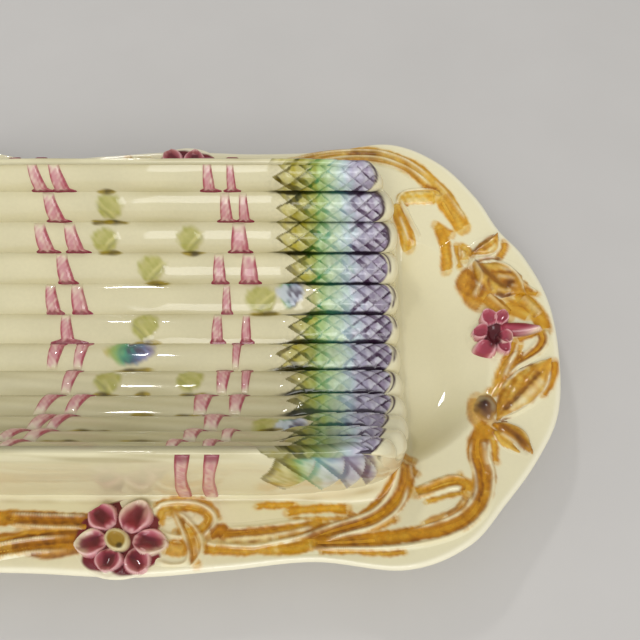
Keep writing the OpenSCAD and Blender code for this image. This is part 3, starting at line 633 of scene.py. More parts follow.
# Dark dashes of glaze run into the grooves: groove between this spear and the next, place, length
dashes = [(2, -24, 15), (3, -28, 14), (3, 15, 15), (4, -4, 15), (6, -7, 16), (8, -23, 15), (8, -5, 9),
          (8, 19, 15), (5, 52, 18), (7, -12, 22), (1, -27, 11), (2, -31, 13), (9, 19, 14), (9, -2, 13),
          (10, -22, 24), (11, -27, 26), (11, 5, 22), (12, -32, 24), (12, 2, 18), (10, 60, 18)]


def scale_cells(x, s, start, end):
    """Lozenge lattice of the scales: two families of lines cross the spear on a slant. The cells
    shorten steadily from scale_l to tip_scale_l, and narrow by a fifth, towards the tip.
    Gives the place in the cell along both families, each from 0 to 1, and the cell's numbers."""
    span = end - start
    t = np.clip((x - start)/span, -0.5, 1.2)
    shrink = scale_l - tip_scale_l
    along = span/shrink*np.log(scale_l/(scale_l - shrink*t))
    wander = 0.05*ripple(x, 7*s, 16)
    across = s*(1 + 0.25*np.clip(t, 0, 1)**2)/scale_w + wander
    p, r = along + across, along - across
    return p - np.floor(p), r - np.floor(r), np.floor(p), np.floor(r)


def scale_relief(fp, fr):
    """A scale rises from its base edges to its free edges, most at its point, and is crowned."""
    rise = np.minimum(fp, fr)**0.8
    crown = 0.25*np.sin(pi*np.clip(fp, 0, 1))*np.sin(pi*np.clip(fr, 0, 1))
    close = smooth(0, 0.07, 1 - np.maximum(fp, fr))
    return (rise*0.85 + crown)*close


def speckle(a, b):
    """Repeatable jitter between 0 and 1 for cell numbers a, b."""
    v = np.sin(a*12.9898 + b*78.233)*43758.5453
    return v - np.floor(v)


def tip_edge(end, q):
    """Where the violet scales stop: the round end of the head, half an ellipse seen from above."""
    return end - tip_bulge*(1 - np.sqrt(np.maximum(1 - 0.96*q**2, 0)))


def head_paint(colour, x, s, q, start, end, number):
    """Running glazes of a head: a tint for each scale, which runs a little past its edges, dark pools
    of uneven width at its base edges, and the dark glaze that filled the groove, deepened with painted
    shade."""
    fp, fr, cp, cr = scale_cells(x, s, start, end)
    edge = tip_edge(end, q)
    shown = (cp + cr >= 0)*smooth(edge + 0.6, edge - 0.8, x)
    place = x + (tip_x - end)*0.55*smooth(80, 105, x)
    brush = 0.5*ripple(x, s, 1.9) + 0.5*ripple(1.7*x, s, 4)
    jitter, other = speckle(cp + number, cr), speckle(cr + 3*number, cp)
    third, middle = speckle(cp + 5*cr, 2 + number), 0.5*(fp + fr)
    tint = shades(place + 5*(jitter - 0.5) + 1.6*brush, scale_stops, scale_shades)
    tint = tint*(0.84 + 0.28*other + 0.14*brush)[..., None]
    # Painted highlight and whitish glaze: the raised middle of each scale towards the tip is paler
    milky_and_highlight = smooth(0.35, 0.9, middle + 0.25*brush)*smooth(90, 99, x)*(0.25 + 0.65*other)
    tint = blend(tint, milk_and_highlight, np.clip(milky_and_highlight, 0, 1))
    olive = smooth(80, 72, x)
    tint = blend(tint, straw, smooth(0.3, 0.75, middle + 0.2*brush)*olive*0.5)
    tint = blend(tint, ivory, smooth(start + 12, start + 1, x)*(0.5 + 0.4*brush))
    pool = shades(place + 2.5*brush + 3*(other - 0.5), pool_stops, pool_shades)
    wide = 1 + 0.45*smooth(79, 70, x)
    low_w = 0.07 + 0.05*olive + 0.5*wide*jitter*third + 0.1*brush
    high_w = 0.05 + 0.03*olive + 0.45*wide*other*third**2 + 0.09*brush
    low_edge = smooth(low_w + 0.09, low_w - 0.06, fp)*(0.35 + 0.65*jitter)*(0.6 + 0.4*smooth(1.05, 0.3, fr))
    high_edge = smooth(high_w + 0.09, high_w - 0.05, fr)*(0.3 + 0.7*other)
    dark = np.maximum(low_edge, high_edge)*np.interp(x, pool_share_stops, pool_shares)*(1.05 + 0.35*brush)
    inside = blend(tint, scale_lip, smooth(0.84, 0.95, np.maximum(fp, fr))*0.08)
    inside = blend(inside, pool, np.clip(dark, 0, 1))
    # Painted shade with an olive film: the heads of the near spears, 9 to 12, are darker
    if number > 8:
        film_and_shade = np.clip(0.13*(number - 8) + 0.3*brush, 0, 0.5)*smooth(98, 84, x)
        inside = blend(inside, olive_film_and_shade, film_and_shade)
    colour = blend(colour, inside, shown)
    # Painted shade and pooled dark glaze fill the groove, heaviest on the near spears
    load = np.where(q > 0, groove_pool_and_shade[number - 1], groove_pool_and_shade[number])
    swell = hump(x, start + 10, 11) + 0.28*hump(x, 88, 7) + 0.9*hump(x, end - 13, 9)
    rim = 1 - (0.03 + 0.2*swell*load + 0.03*brush)
    filled = smooth(rim - 0.07, rim + 0.05, np.abs(q))
    filled = filled*smooth(start - 7, start + 3, x)*smooth(end + 1, end - 4, x)
    return blend(colour, pool*0.42, np.clip(filled, 0, 1)*np.clip(0.35 + load, 0, 0.95))


def bract_mark(rise, colour, x, s, at, off, length, blue, way):
    """Leaf-shaped mark: u runs along it and v across it, -1 to 1, and it narrows towards the lower
    groove. It is green with a pale slanted rib, or runs from green over teal to violet."""
    v = (s - off)/(0.47*spear_pitch)
    u = (x - at)/(length*0.68*(0.86 + 0.2*np.clip(v, -1, 1)))
    rough = 0.5*ripple(x, s, 1.9) + 0.5*ripple(x, 1.5*s, 4)
    inside = smooth(1.12, 0.7, np.hypot(u, v) + 0.12*rough)
    rise = rise + 0.35*inside*(1 + u)
    if blue:
        t = np.clip(0.5 + 0.5*u + 0.06*rough, 0, 1)
        tone = shades(t, bud_stops, bud_shades)
        # The small blue marks are paler across their middle: pale glaze and a painted highlight
        if length < 20:
            tone = blend(tone, bud_milk_and_highlight, smooth(0.9, 0.3, np.abs(v) + 0.3*rough)*0.85)
        streak = 0.5 + 0.5*np.cos(7*v + 3*t + 2*rough)
        violet = np.clip((1 - streak)*0.6 + 0.9*rough, 0, 0.85)*smooth(0.25, 0.6, t)
        return rise, blend(colour, blend(tone, bud_violet, violet), inside*0.92)
    slant = 0.95*u*way - v - 0.25
    tone = blend(leaf_green, leaf_rib, np.clip(0.3 + 0.12*np.cos(7*slant + 2*rough) + 0.5*rough, 0, 1))
    tone = blend(tone, leaf_rib, hump(slant, 0, 0.14)*smooth(-0.4, 0.3, u)*0.8)
    tone = blend(tone, leaf_dark, np.clip(hump(slant, 0.38, 0.16)*0.3 + 0.3*rough, 0, 0.6))
    return rise, blend(colour, tone, inside*0.8)


def stem_face(number, x, s, q, start, end):
    """Height of a spear's face above its chord and its colour, with its bracts and dark dashes."""
    is_head = smooth(start - 4, start + 9, x)
    rise = stem_rise*(1 - np.abs(q)**2.2)*(1 - is_head) + head_rise*np.maximum(0, 1 - q**2)**0.75*is_head
    rise = rise*(1 - 0.35*smooth(92, 122, x))
    fp, fr, cp, cr = scale_cells(x, s, start, end)
    shown = (cp + cr >= 0)*smooth(1, -1.5, x - tip_edge(end, q))*np.clip((1 - np.abs(q))*6, 0, 1)
    step = scale_step*(0.55 + 0.45*smooth(88, 100, x))*smooth(start - 2, start + 6, x + 6)
    rise = rise + step*scale_relief(fp, fr)*shown
    rise = rise + 0.12*ripple(x, s + 31*number, 18)*(1 - q**2)
    # Painted shade: each stem darkens towards its grooves, but not on the crest's own edge of spears 1 and 12
    at_crest = (number - 6.5)*q < -5.4
    deep = smooth(0.4, 1, np.where(at_crest, 0, np.abs(q)))
    colour = blend(ivory, groove_shade_ivory, np.clip(deep*(0.22 + 0.18*ripple(x, number, 30)), 0, 1))
    colour = colour*(1 + 0.03*ripple(x, s + 9*number, 22))[..., None]
    if number > 7:
        shade = np.clip(0.1*(number - 7) + 0.12*ripple(0.3*x, 3*s, 9), 0, 0.45)
        colour = blend(colour, shaded_stem, shade)
    colour = head_paint(colour, x, s, q, start, end, number)
    for spear, at, off, length, blue in bracts:
        if spear == number:
            way = 1 if speckle(number, at) > 0.3 else -1
            rise, colour = bract_mark(rise, colour, x, s, at, off, length, blue, way)
    for spear, at, length in dashes:
        side = (spear + 1 == number) - (spear == number)
        if side:
            t = np.abs(x - at)/(length/2)
            run = smooth(1.05, 0.6, t)*smooth(0.72 + 0.22*t**2, 0.95, side*q + 0.07*ripple(x, s, 6))
            dash = blend(dash_brown, dash_ochre, np.clip(t + 0.1 + 0.4*ripple(x, s, 5), 0, 1))
            colour = blend(colour, dash, np.clip(run, 0, 1)*0.9)
    return rise, colour


def spear_rings(number):
    """One spear as closed rings across it, from butt to tip, and its paint. The face bulges from
    groove to groove as 1 - |q|^2.2 on the stalk and (1 - q^2)^0.75 on the head, its ends roll over
    in a quarter circle and tuck under, and the back lies 3 mm out from the trough."""
    k = groove_count - number
    base, out, up = spear_base(k)
    start, end = head_starts[number - 1], violet_ends[number - 1]
    low_tip, low_butt = base + out*tip_round, base + out*butt_round
    x_tip = reach(low_tip[:, 0]) - end_gap - end_scallop(k, True) - tip_round
    x_butt = -(reach(low_butt[:, 0]) - end_gap - end_scallop(k, False) - butt_round)
    x0 = np.concatenate([np.linspace(butt_x, -46, 26)[:-1], np.linspace(-46, 52, 150)[:-1],
                         np.linspace(52, tip_x, 165)])[:, None]
    toward_tip = np.clip((x0 - tip_x + tip_stretch)/tip_stretch, 0, 1)
    toward_butt = np.clip((butt_x + butt_stretch - x0)/butt_stretch, 0, 1)
    x = x0 + toward_tip*(x_tip - tip_x) + toward_butt*(x_butt - butt_x)
    q = share_across
    s = q*spear_pitch/2
    rise, colour = stem_face(number, x, np.broadcast_to(s, x.shape), np.broadcast_to(q, x.shape), start, end)
    roll = np.linspace(0, pi/2, 9)[1:, None, None]

    def rolled(x_end, end_rise, radius, sign):
        """Quarter circle over the end, then a short tuck inwards behind the end wall's face."""
        along, inner = x_end[None, :, None], radius - spear_t
        face = base + out*radius*(1 - np.cos(roll)) + (end_rise[:, None]*up)*np.cos(roll)
        outer = np.concatenate([along + sign*radius*np.sin(roll), face], -1)
        behind = base + out*(radius - inner*np.cos(roll))
        behind = np.concatenate([along + sign*inner*np.sin(roll), behind], -1)
        tuck = outer[-1] + np.c_[0*x_end - sign*0.5, out*1.6]
        return np.concatenate([outer, tuck[None]]), np.concatenate([behind, behind[-1:] + (0, 0, -0.3)])

    tip, tip_back = rolled(x[-1], rise[-1], tip_round, 1)
    butt, butt_back = rolled(x[0], rise[0], butt_round, -1)
    body = np.concatenate([x[..., None], base + rise[..., None]*up], -1)
    body_back = np.concatenate([x[..., None], 0*x[..., None] + base + out*spear_t], -1)
    face = np.concatenate([butt[::-1], body, tip])
    back = np.concatenate([butt_back[::-1], body_back, tip_back])[:, ::-6]
    st, qt = (np.broadcast_to(line, tip.shape[:2]) for line in (s, q))
    tip_colour = head_paint(np.broadcast_to(tip_cream, tip.shape), tip[..., 0], st, qt, start, end, number)
    colour = np.concatenate([np.broadcast_to(colour[0], butt.shape), colour, tip_colour])
    x, q = face[..., 0], np.broadcast_to(q, face.shape[:2])
    beyond = x - tip_edge(end, q)
    colour = blend(colour, tip_cream, smooth(0, 0.8, beyond))
    gap, thick, low_q = hooks[number - 1]
    hook = hump(beyond + 0.2*ripple(x, 9*q, 7), gap + 0.5*q, thick*(0.7 + 0.35*q))
    hook = hook*smooth(low_q - 0.25, low_q + 0.1, q)
    colour = blend(colour, hook_violet, np.clip(hook*1.15, 0, 0.95))
    depth = 0.02 + 0.18*smooth(start - 6, start + 4, x)*smooth(1, -1, beyond)
    colour = np.concatenate([with_depth(colour, depth), plain(cream, back.shape)], 1)
    return np.concatenate([face, back], 1), colour


running_glaze = lead_glaze("running_coloured_lead_glaze_on_moulded_spears", 0.05, 0.3)
for number in range(1, 13):
    skin_of(f"spear_{number:02d}_glazed", [spear_rings(number)], running_glaze,
            [f"spear_{number:02d}"])


# Side spears: the outermost stalk on each long side, which is also the outer wall of the cradle. It
# rolls over at the crest and runs round the corners, cream, with large scales towards the tip end.
wall_top = crest_z + stem_rise/2
roll_w = bundle_hw - crest_y
roll_z = seat_z + (wall_top - seat_z)*0.492
wall_turn, wall_steps = radians(27), 430
side_start, side_row_z, side_scale_h = 55, 50, 36
side_columns = (15, 35, 55, 74, 88, 97, 105)
# Place on the side spear, and the place on a head whose glazes it takes
side_stops, side_places = (52, 66, 76, 88, 94, 104), (57, 68, 88, 94, 102, 112)
side_milk, side_straw, crest_shade = map(linear, ("#ced2d4", "#d2cc96", "#8c7c40"))


def roll_inset(z):
    """How far the wall has rolled in at height z, along a quarter ellipse, and its share of the way up."""
    up = np.clip((z - roll_z)/(wall_top - roll_z), 0, 1)
    return roll_w*(1 - np.sqrt(1 - up**2*0.9999)), up


def side_cells(x, z):
    """The same lozenge lattice, larger, laid along the wall."""
    along = np.interp(x, side_columns, np.arange(7) - 2.0)
    across = (z - side_row_z)/side_scale_h + 0.03*ripple(x, z, 20)
    p, r = along + across, along - across
    return p - np.floor(p), r - np.floor(r), np.floor(p), np.floor(r)


def side_paint(x, z, shown):
    """Ivory wall with brown runs near its foot and crest, and the scales' glazes where they are shown."""
    fp, fr, cp, cr = side_cells(x, z)
    low = smooth(30, 8, z)*(0.4 + 0.25*ripple(x, z, 30))
    colour = blend(ivory, pool_and_shade_cream, np.clip(low, 0, 1)*0.5)
    streak = hump(z, 21, 2.2)*smooth(-40, -20, x)*smooth(70, 50, x)*(0.25 + 0.2*ripple(x, z, 12))
    colour = blend(colour, leaf_ochre, np.clip(streak, 0, 1))
    run = np.clip(0.25 + 0.9*ripple(0.25*x, 4*z, 8), 0, 1)
    colour = blend(colour, crest_shade, run*smooth(wall_top - 9, wall_top - 3, z)*smooth(60, 40, x)*0.45)
    brush = 0.5*ripple(x, z, 2.4) + 0.5*ripple(1.7*x, z, 5)
    jitter, other = speckle(cp + 3, cr), speckle(cr + 8, cp)
    middle = 0.5*(fp + fr) + 0.3*brush
    place = np.interp(x, side_stops, side_places) + 3*(jitter - 0.5) + 2*brush
    tint = shades(place, scale_stops, scale_shades)
    tint = blend(tint, side_milk, smooth(74, 84, x)*smooth(0.2, 0.8, middle)*0.7)
    tint = blend(tint, side_straw, smooth(0.2, 0.7, middle)*smooth(76, 66, x)*0.6)
    tint = tint*(0.9 + 0.16*brush)[..., None]
    tint = blend(tint, ivory, smooth(side_start + 17, side_start, x)*(0.5 + 0.4*brush))
    heavy = 0.22*smooth(84, 92, x)
    low_w = 0.08 + 0.13*jitter + 0.05*brush + heavy*other
    high_w = 0.08 + 0.12*other + 0.05*brush + heavy*jitter
    dark = np.maximum(smooth(low_w + 0.1, low_w - 0.07, fp)*(0.6 + 0.4*other),
                      smooth(high_w + 0.1, high_w - 0.07, fr)*(0.55 + 0.45*jitter))
    dark = np.maximum(dark, smooth(wall_top - 7, wall_top - 1, z + 3*brush)*0.75)
    pool = shades(place - 2, pool_stops, pool_shades)
    inside = blend(tint, pool, np.clip(dark*(0.85 + 0.2*brush), 0, 1))
    return blend(colour, inside, shown*(1 - smooth(100 - 3*(jitter - 0.5), 108, x + 2*brush)))


def side_spear_rings(flip):
    """Wall on the bundle's outline: upright to mid height, then a quarter ellipse in to the crest.
    The top edge rounds down at both ends as the spears do."""
    fine = np.linspace(wall_turn, pi - wall_turn, 4000)
    r = bundle_r(fine)
    length = np.r_[0, np.cumsum(np.hypot(np.diff(r*np.cos(fine)), np.diff(r*np.sin(fine))))]
    t = np.interp(np.linspace(0, length[-1], wall_steps), length, fine)[:, None]
    x_line = bundle_r(t)*np.cos(t)
    edge_x = reach(crest_y) - 1.2

    def drop(radius, sign):
        past = np.clip(sign*x_line - (edge_x - radius), 0, radius*0.999)
        return radius - np.sqrt(radius**2 - past**2) + np.clip(sign*x_line - edge_x, 0, None)*2.5

    top = wall_top - drop(tip_round, 1) - drop(butt_round, -1)
    rise = np.r_[np.linspace(0, 0.5, 14)[:-1], 0.5 + 0.5*np.sin(np.linspace(0, pi/2, 46))]
    z = seat_z - seat_lap + (top - seat_z + seat_lap)*rise
    inset, up = roll_inset(z)
    corner = np.degrees(t)
    inset_face = inset + 0.35*smooth(34.8, 32, corner) + 0.35*smooth(145.2, 148, corner)
    x = np.broadcast_to(x_line, z.shape)
    fp, fr, cp, cr = side_cells(x, z)
    in_rows, ends = cp + cr >= 0, smooth(106, 103, x)
    shown = in_rows*ends*(cp - cr >= 0)
    pressed = shown + 0.4*in_rows*(cp - cr == -1)*ends
    puff = 1.1*smooth(side_start - 4, side_start + 10, x)*smooth(112, 98, x)
    puff = puff*np.sin(pi*np.clip((z - roll_z + 8)/(wall_top - roll_z + 8), 0, 1))
    bump = (scale_step*1.15*scale_relief(fp, fr)*pressed + puff)*smooth(wall_top + 0.5, wall_top - 2, z)
    radius = oval_r(t, bundle_hl - inset_face, bundle_hw - inset_face, bundle_power)
    radius = radius + bump + 0.15*ripple(x, z, 22)
    outer = np.stack([radius*np.cos(t), radius*np.sin(t), z], -1)
    radius = oval_r(t, bundle_hl - inset - side_t, bundle_hw - inset - side_t, bundle_power)
    inner = np.stack([radius*np.cos(t), radius*np.sin(t), z - 0.6*up], -1)[:, ::-3]
    number, low, high = (1, 9, 6) if flip > 0 else (12, 3, 1.2)
    start, end = head_starts[0], violet_ends[number - 1]

    def crest_paint(colour, points, share):
        """The neighbouring head's scales and glazes carry on over the crest."""
        beyond = spear_pitch/2 + 1.2*(np.abs(points[..., 1]) - crest_y)
        over = head_paint(colour, points[..., 0], beyond, 0*beyond, start, end, number)
        return blend(colour, over, share)

    colour = crest_paint(side_paint(x, z, shown), outer, smooth(wall_top - low, wall_top - high, z))
    inner_colour = crest_paint(np.broadcast_to(ivory, inner.shape), inner, np.ones(inner.shape[:2]))
    return np.concatenate([outer, inner], 1)*(1, flip, 1), np.concatenate([colour, inner_colour], 1)


for name, flip in (("near", -1), ("far", 1)):
    skin_of(f"side_spear_{name}_glazed", [side_spear_rings(flip)], running_glaze,
            [f"side_spear_{name}"])


# Ties: two ribbons that hold the bundle, moulded as raised strands over each spear, pale pink with
# rose edges. Each strand flares into a thin maroon cap over the groove on its lower side.
# Strands on spears 1 to 12: spear, place along it, and width
head_strands = [
    (1, 24.8, 7.5), (1, 36.1, 6), (2, 32.7, 8.2), (2, 41.8, 7.1), (3, 39, 12), (4, 28.3, 8.8), (4, 43.8, 12),
    (5, 32.3, 6.2), (6, 28, 7.7), (6, 42.8, 6.6), (7, 38.5, 5.6), (8, 33, 8.8), (8, 44.2, 5.9),
    (9, 24.8, 11), (9, 41, 9.9), (10, 31.8, 11.3), (11, 25.1, 10.4), (11, 40.7, 7.8), (12, 20, 8),
    (12, 35, 8)]
butt_strands = [
    (1, -60.6, 8.9), (1, -50, 10), (2, -55, 10.7), (3, -62, 10.5), (3, -46.7, 10.8), (4, -52, 10.4),
    (5, -58, 9.3), (5, -44.2, 10.8), (6, -49, 8.8), (7, -52.6, 9.5), (7, -39.8, 8.1), (8, -41.9, 8.8),
    (9, -48.6, 9.5), (9, -34.4, 10.4), (10, -46, 11), (10, -38, 9), (11, -52.9, 10.4), (11, -41.6, 11.3),
    (12, -47.2, 8.3), (12, -60, 9)]
# Strands on the outer walls: place at the crest and place at the foot
head_wall_strands, butt_wall_strands = [(25.3, 19.3), (37.2, 31.2)], [(-70, -84), (-57, -73)]
strand_h, wall_strand_h = 1.3, 0.75
rose, rose_edge, blush, maroon = map(linear, ("#c98f92", "#a53c4c", "#e2cdb8", "#7c2035"))


def strand_across(count):
    """Shares across a strand, from edge to edge, closer together towards the edges."""
    return np.sin(np.linspace(-1, 1, count)*pi/2)[None]


def strand(number, at, width, lean):
    """Pillow across one spear: u runs from its upper groove to its lower one, v across the strand.
    It widens downwards, then flares into a thin cap with a point on each side, over the lower groove.
    lean is how far the strand moves along the spear from the upper groove to the lower one."""
    k = groove_count - number
    a, b = groove(k)[0], groove(k + 1)[0]
    if k >= 0:
        a, b = b, a
    across = b - a
    up = np.array([across[1], -across[0]])/np.linalg.norm(across)*(1 if k >= 0 else -1)
    up = up if up[1] > 0 or abs(k) > 3 else -up
    level = 1 - smooth(4, 1.5, abs(k + 0.5))
    u, v = np.linspace(0.03, 1.06, 44)[:, None], strand_across(23)
    wobble = 0.12*ripple(at + 40*u, 9*number + at, 12)
    half = width*(0.27 + 0.11*smooth(0, 0.8, u) + 0.03*wobble)
    cap = smooth(0.86, 0.97, u)
    # The caps spread on the middle spears, and most of all that of the cut-end strand on spear 6
    flare = 0.8 + 1.5*speckle(number, at)*(v > 0) + 1.4*level + (5 if number == 6 and at < 0 else 0)
    flare = flare*smooth(1.12, 0.98, u)
    x = at + lean*(0.2 if number in (7, 8) else 1)*(u - 0.5) + (half + cap*flare)*v
    face = stem_rise*np.maximum(0, 1 - np.abs(2*u - 1)**2.2)
    pillow = (1 - v**4)**0.6*smooth(0, 0.1, u)
    lift = strand_h*pillow*(1 - 0.72*cap)*(0.75 + 0.35*u)*smooth(1.07, 0.98, u)
    lift = lift + 0.1*ripple(x, 16*u, 4)*pillow
    lift = np.where(np.abs(v) > 0.995, -0.1, np.maximum(lift, 0.06 - 0.16*(u > 1.05)))

    def over(height):
        return np.concatenate([x[..., None], a + across*u[..., None] + (height + 0*x)[..., None]*up], -1)

    outer, inner = over(face + lift), over(face - 0.6)[:, ::-2]
    grainy = 0.6*ripple(x, 16*u, 1.5) + 0.4*ripple(x, 16*u, 3.5)
    body = blend(blush, rose, np.clip(0.85*smooth(0.02, 0.45, u) + 0.65*grainy, 0, 1))
    body = blend(body, ivory, smooth(0.2, 0.05, u + 0.06*grainy)*0.8)
    line = hump(np.abs(v) + 0.08*grainy, 0.86, 0.2) + 0.5*hump(v - 0.1*grainy, 0.35, 0.12)*smooth(0.3, 0.7, u)
    body = blend(body, rose_edge, np.clip(line*smooth(0.02, 0.3, u)*(0.8 + 0.3*grainy), 0, 0.9))
    scallop = u - 0.915 + 0.03*np.cos(3*pi*v + number) + 0.02*grainy
    body = blend(body, maroon, smooth(-0.03, 0.03, scallop)*(0.7 + 0.25*level))
    return np.concatenate([outer, inner], 1), np.concatenate([body, np.broadcast_to(rose, inner.shape)], 1)


def wall_strand(top_x, foot_x, side):
    """Strand down the outer wall, about 6 mm wide, from the crest to 15 mm above the table."""
    u, v = np.linspace(0, 1, 60)[:, None], strand_across(19)
    z = wall_top - 0.4 + (15 - wall_top)*u
    inset, _ = roll_inset(z)
    x = top_x + (foot_x - top_x)*u - 1.6*np.sin(pi*u) + (2.8 + 0.3*np.cos(9*u) + 0.3*u)*v
    wall = (bundle_hw - inset)*(1 - (np.abs(x)/(bundle_hl - inset))**bundle_power)**(1/bundle_power)
    lift = wall_strand_h*(1 - v**4)**0.6*smooth(1, 0.9, u) + 0.08*ripple(x, z, 4)
    lift = np.where(np.abs(v) > 0.995, -0.1, lift)
    outer = np.stack([x, side*(wall + lift), z + 0*x], -1)
    inner = np.stack([x, side*(wall - 0.7), z + 0*x], -1)[:, ::-2]
    grainy = 0.6*ripple(x, z, 1.5) + 0.4*ripple(x, z, 4)
    body = blend(rose, blush, np.clip(0.35 + 0.75*grainy + 0.8*smooth(0.75, 0.98, u), 0, 1))
    edge = hump(np.abs(v) + 0.08*grainy, 0.88, 0.2)
    body = blend(body, rose_edge, np.clip(edge*(0.85 + 0.3*grainy), 0, 0.9))
    body = blend(body, maroon, smooth(0.12, 0.02, u)*0.8)
    return np.concatenate([outer, inner], 1), np.concatenate([body, np.broadcast_to(rose, inner.shape)], 1)


pink_glaze = lead_glaze("pink_lead_glaze_on_moulded_ties", 0.09, 0.3)
for name, strands, walls, lean in (("heads", head_strands, head_wall_strands, 0.4),
                                   ("butts", butt_strands, butt_wall_strands, 3.2)):
    shells = [strand(n, at, w, lean) for n, at, w in strands]
    shells += [wall_strand(a, b, side) for a, b in walls for side in (-1, 1)]
    skin_of(f"tie_{name}_strands", shells, pink_glaze, [f"tie_{name}"])


# Vines: flat stems in low relief round the rim, pressed by themselves and joined to it with slip. Thin
# ridges edge them, which the amber glaze leaves pale, and it pools brown between.
ridge_cream = linear("#e6dab0")
patch_grain, patch_sink, skin_lift, skin_t = 0.5, 0.35, 0.07, 1


def drawn(x, y, features):
    """Height in mm and colour of the relief at each place. A feature is (kind, points, half width, size,
    tone): a ridge swells by size as exp(-(gap/width)^2) and is painted pale by tone, with a band of
    darker amber beside it that is painted shade and pooled glaze, a vein is cut by size and painted
    with the amber glaze of that level, a leaf is a low dome that spreads by a half width at each point,
    and is painted with that level, paler towards its edges."""
    height, paint = np.zeros(x.shape), dish_paint(x, y)
    colour, depth = paint[..., :3], paint[..., 3]
    for kind, points, width, size, tone in features:
        gap, share = gap_to(x, y, points)
        if kind == "leaf":
            half = np.interp(share, np.linspace(0, 1, len(width)), width)
            q = gap/np.maximum(half, 0.2) + 0.06*ripple(x, y, 5)
            height = np.maximum(height, size*np.clip(1 - q**2, 0, 1)**0.6)
            inside = smooth(1.05, 0.85, q)
            level = tone + 0.2*np.sin(2.6*q) - 0.3*smooth(0.8, 1, q)
            level = level + 0.15*ripple(x, y, 9) + 0.08*ripple(x, y, 2.2)
            colour = blend(colour, amber_at(level, x, y), inside*0.97)
            depth = np.maximum(depth, inside*0.3)
            continue
        ends = np.clip(np.minimum(share, 1 - share)*9 + 0.25, 0, 1)
        near = hump(gap, 0, width)*ends
        if kind == "ridge":
            height = np.maximum(height, height*0.6 + size*near)
            # Painted shade and pooled amber: a darker band alongside each ridge
            shade_and_pool_beside = hump(gap, 2.1*width, 0.8*width)*ends*smooth(0.03, 0.2, depth)
            shade_and_pool_beside = np.clip(shade_and_pool_beside*(0.3 + 0.25*ripple(x, y, 3)), 0, 0.5)
            colour = blend(colour, amber_at(0.26 + 0.15*ripple(x, y, 6), x, y), shade_and_pool_beside)
            bare = near**1.6*(tone + 0.3*ripple(x, y, 5))
            colour = blend(colour, ridge_cream, np.clip(bare, 0, 1))
            depth = depth*(1 - near*tone)
        else:
            height = height - size*near
            stroke = hump(gap + 0.5*ripple(x, y, 2.2), 0, 1.35*width)*ends
            colour = blend(colour, amber_at(tone, x, y), np.clip(stroke*1.1, 0, 1)*0.85)
    return height, with_depth(colour, depth)


def raised(x, y, height, hold):
    """Face of a relief: height above the dish where hold is 1, sunk into the dish where it is 0."""
    return np.stack([x, y, ground(x, y) + (height + skin_lift)*hold - patch_sink*(1 - hold)], -1)


def patch(path, widths, features):
    """Strip of the rim's skin along a path, with the features drawn on it, as a closed shell. Its edges
    dip into the dish, and its underside follows the dish's face at skin_t below it."""
    line = through(np.c_[path, widths], 30)
    length = np.r_[0, np.cumsum(np.hypot(*np.diff(line[:, :2], axis=0).T))]
    count = int(length[-1]/patch_grain) + 8
    line = np.stack([np.interp(np.linspace(0, length[-1], count), length, c) for c in line.T], -1)
    along = np.gradient(line[:, :2], axis=0)
    along /= np.linalg.norm(along, axis=1)[:, None]
    v = np.linspace(-1, 1, int(2*max(widths)/patch_grain) + 3)[None]
    t = np.linspace(0, 1, count)[:, None]
    half = line[:, 2, None]
    x, y = line[:, 0, None] - along[:, 1, None]*half*v, line[:, 1, None] + along[:, 0, None]*half*v
    from_edge = np.minimum(np.minimum(t, 1 - t)*length[-1], (1 - np.abs(v))*half)
    height, colour = drawn(x, y, features)
    top = raised(x, y, height, smooth(0, 1.2, from_edge))
    under = np.stack([x, y, ground(x, y) - skin_t], -1)[:, ::-4]
    return np.concatenate([top, under], 1), np.concatenate([colour, plain(cream, under.shape)], 1)


def both_sides(name, shells, material, nodes):
    """The sprig as it stands near or on the right, and its copy half a turn round."""
    turned = [(rings*(-1, -1, 1), colour) for rings, colour in shells]
    for side, parts, node in zip(("a", "b"), (shells, turned), nodes):
        skin_of(f"{name}_{side}", parts, material, [node])


amber_glaze = lead_glaze("amber_lead_glaze_on_moulded_vines", 0.06, 0.3)


def sprig(name, nodes, strips, features):
    """Amber sprig on two nodes. Each strip is a path in mm and its half widths."""
    shells = [patch(path, widths, features) for path, widths in strips]
    both_sides(name, shells, amber_glaze, nodes)


sprig("main_vine", ["vine_near_right", "vine_far_left"], [
    ([(30, -98.5), (46, -98.5), (62, -97), (76, -95.5), (92, -93), (104, -89.5), (112, -83.5), (117.5, -75),
        (120.5, -64)], [7.5, 7.5, 7.8, 7.2, 7, 7, 7, 6.5, 5])], [
    ("ridge", [(31, -101.5), (42, -102.5), (52, -102.8), (62, -101), (72, -98.8), (80, -96), (88, -93),
        (98, -90), (104, -87.3), (109, -83), (113, -77.5), (115.8, -71), (117, -64)], 1.05, 1.5, 0.95),
    ("ridge", [(84, -100), (94, -97.3), (103, -95), (109, -91.8), (114, -88), (118, -82.5), (120.3, -76)],
        1.1, 1.6, 1),
    ("ridge", [(40, -94.5), (52, -94), (64, -92.5), (74, -91)], 0.9, 0.7, 0.6),
    ("ridge", [(40, -99.5), (54, -98.5), (66, -96.8), (78, -94)], 1, 0.8, 0.55),
    ("ridge", [(123.5, -62), (122.5, -66), (122.8, -72)], 1, 0.9, 0.4),
    ("vein", [(74, -99.6), (82, -96.9), (91, -94.6), (101, -91.5), (110, -87.2)], 1.1, 0.18, 0.17),
    ("vein", [(38, -96.4), (46, -96), (56, -95), (64, -94)], 0.7, 0.12, 0.25),
    ("vein", [(110, -86), (115.5, -80.5), (118.5, -74), (119.5, -67)], 0.9, 0.18, 0.25)])
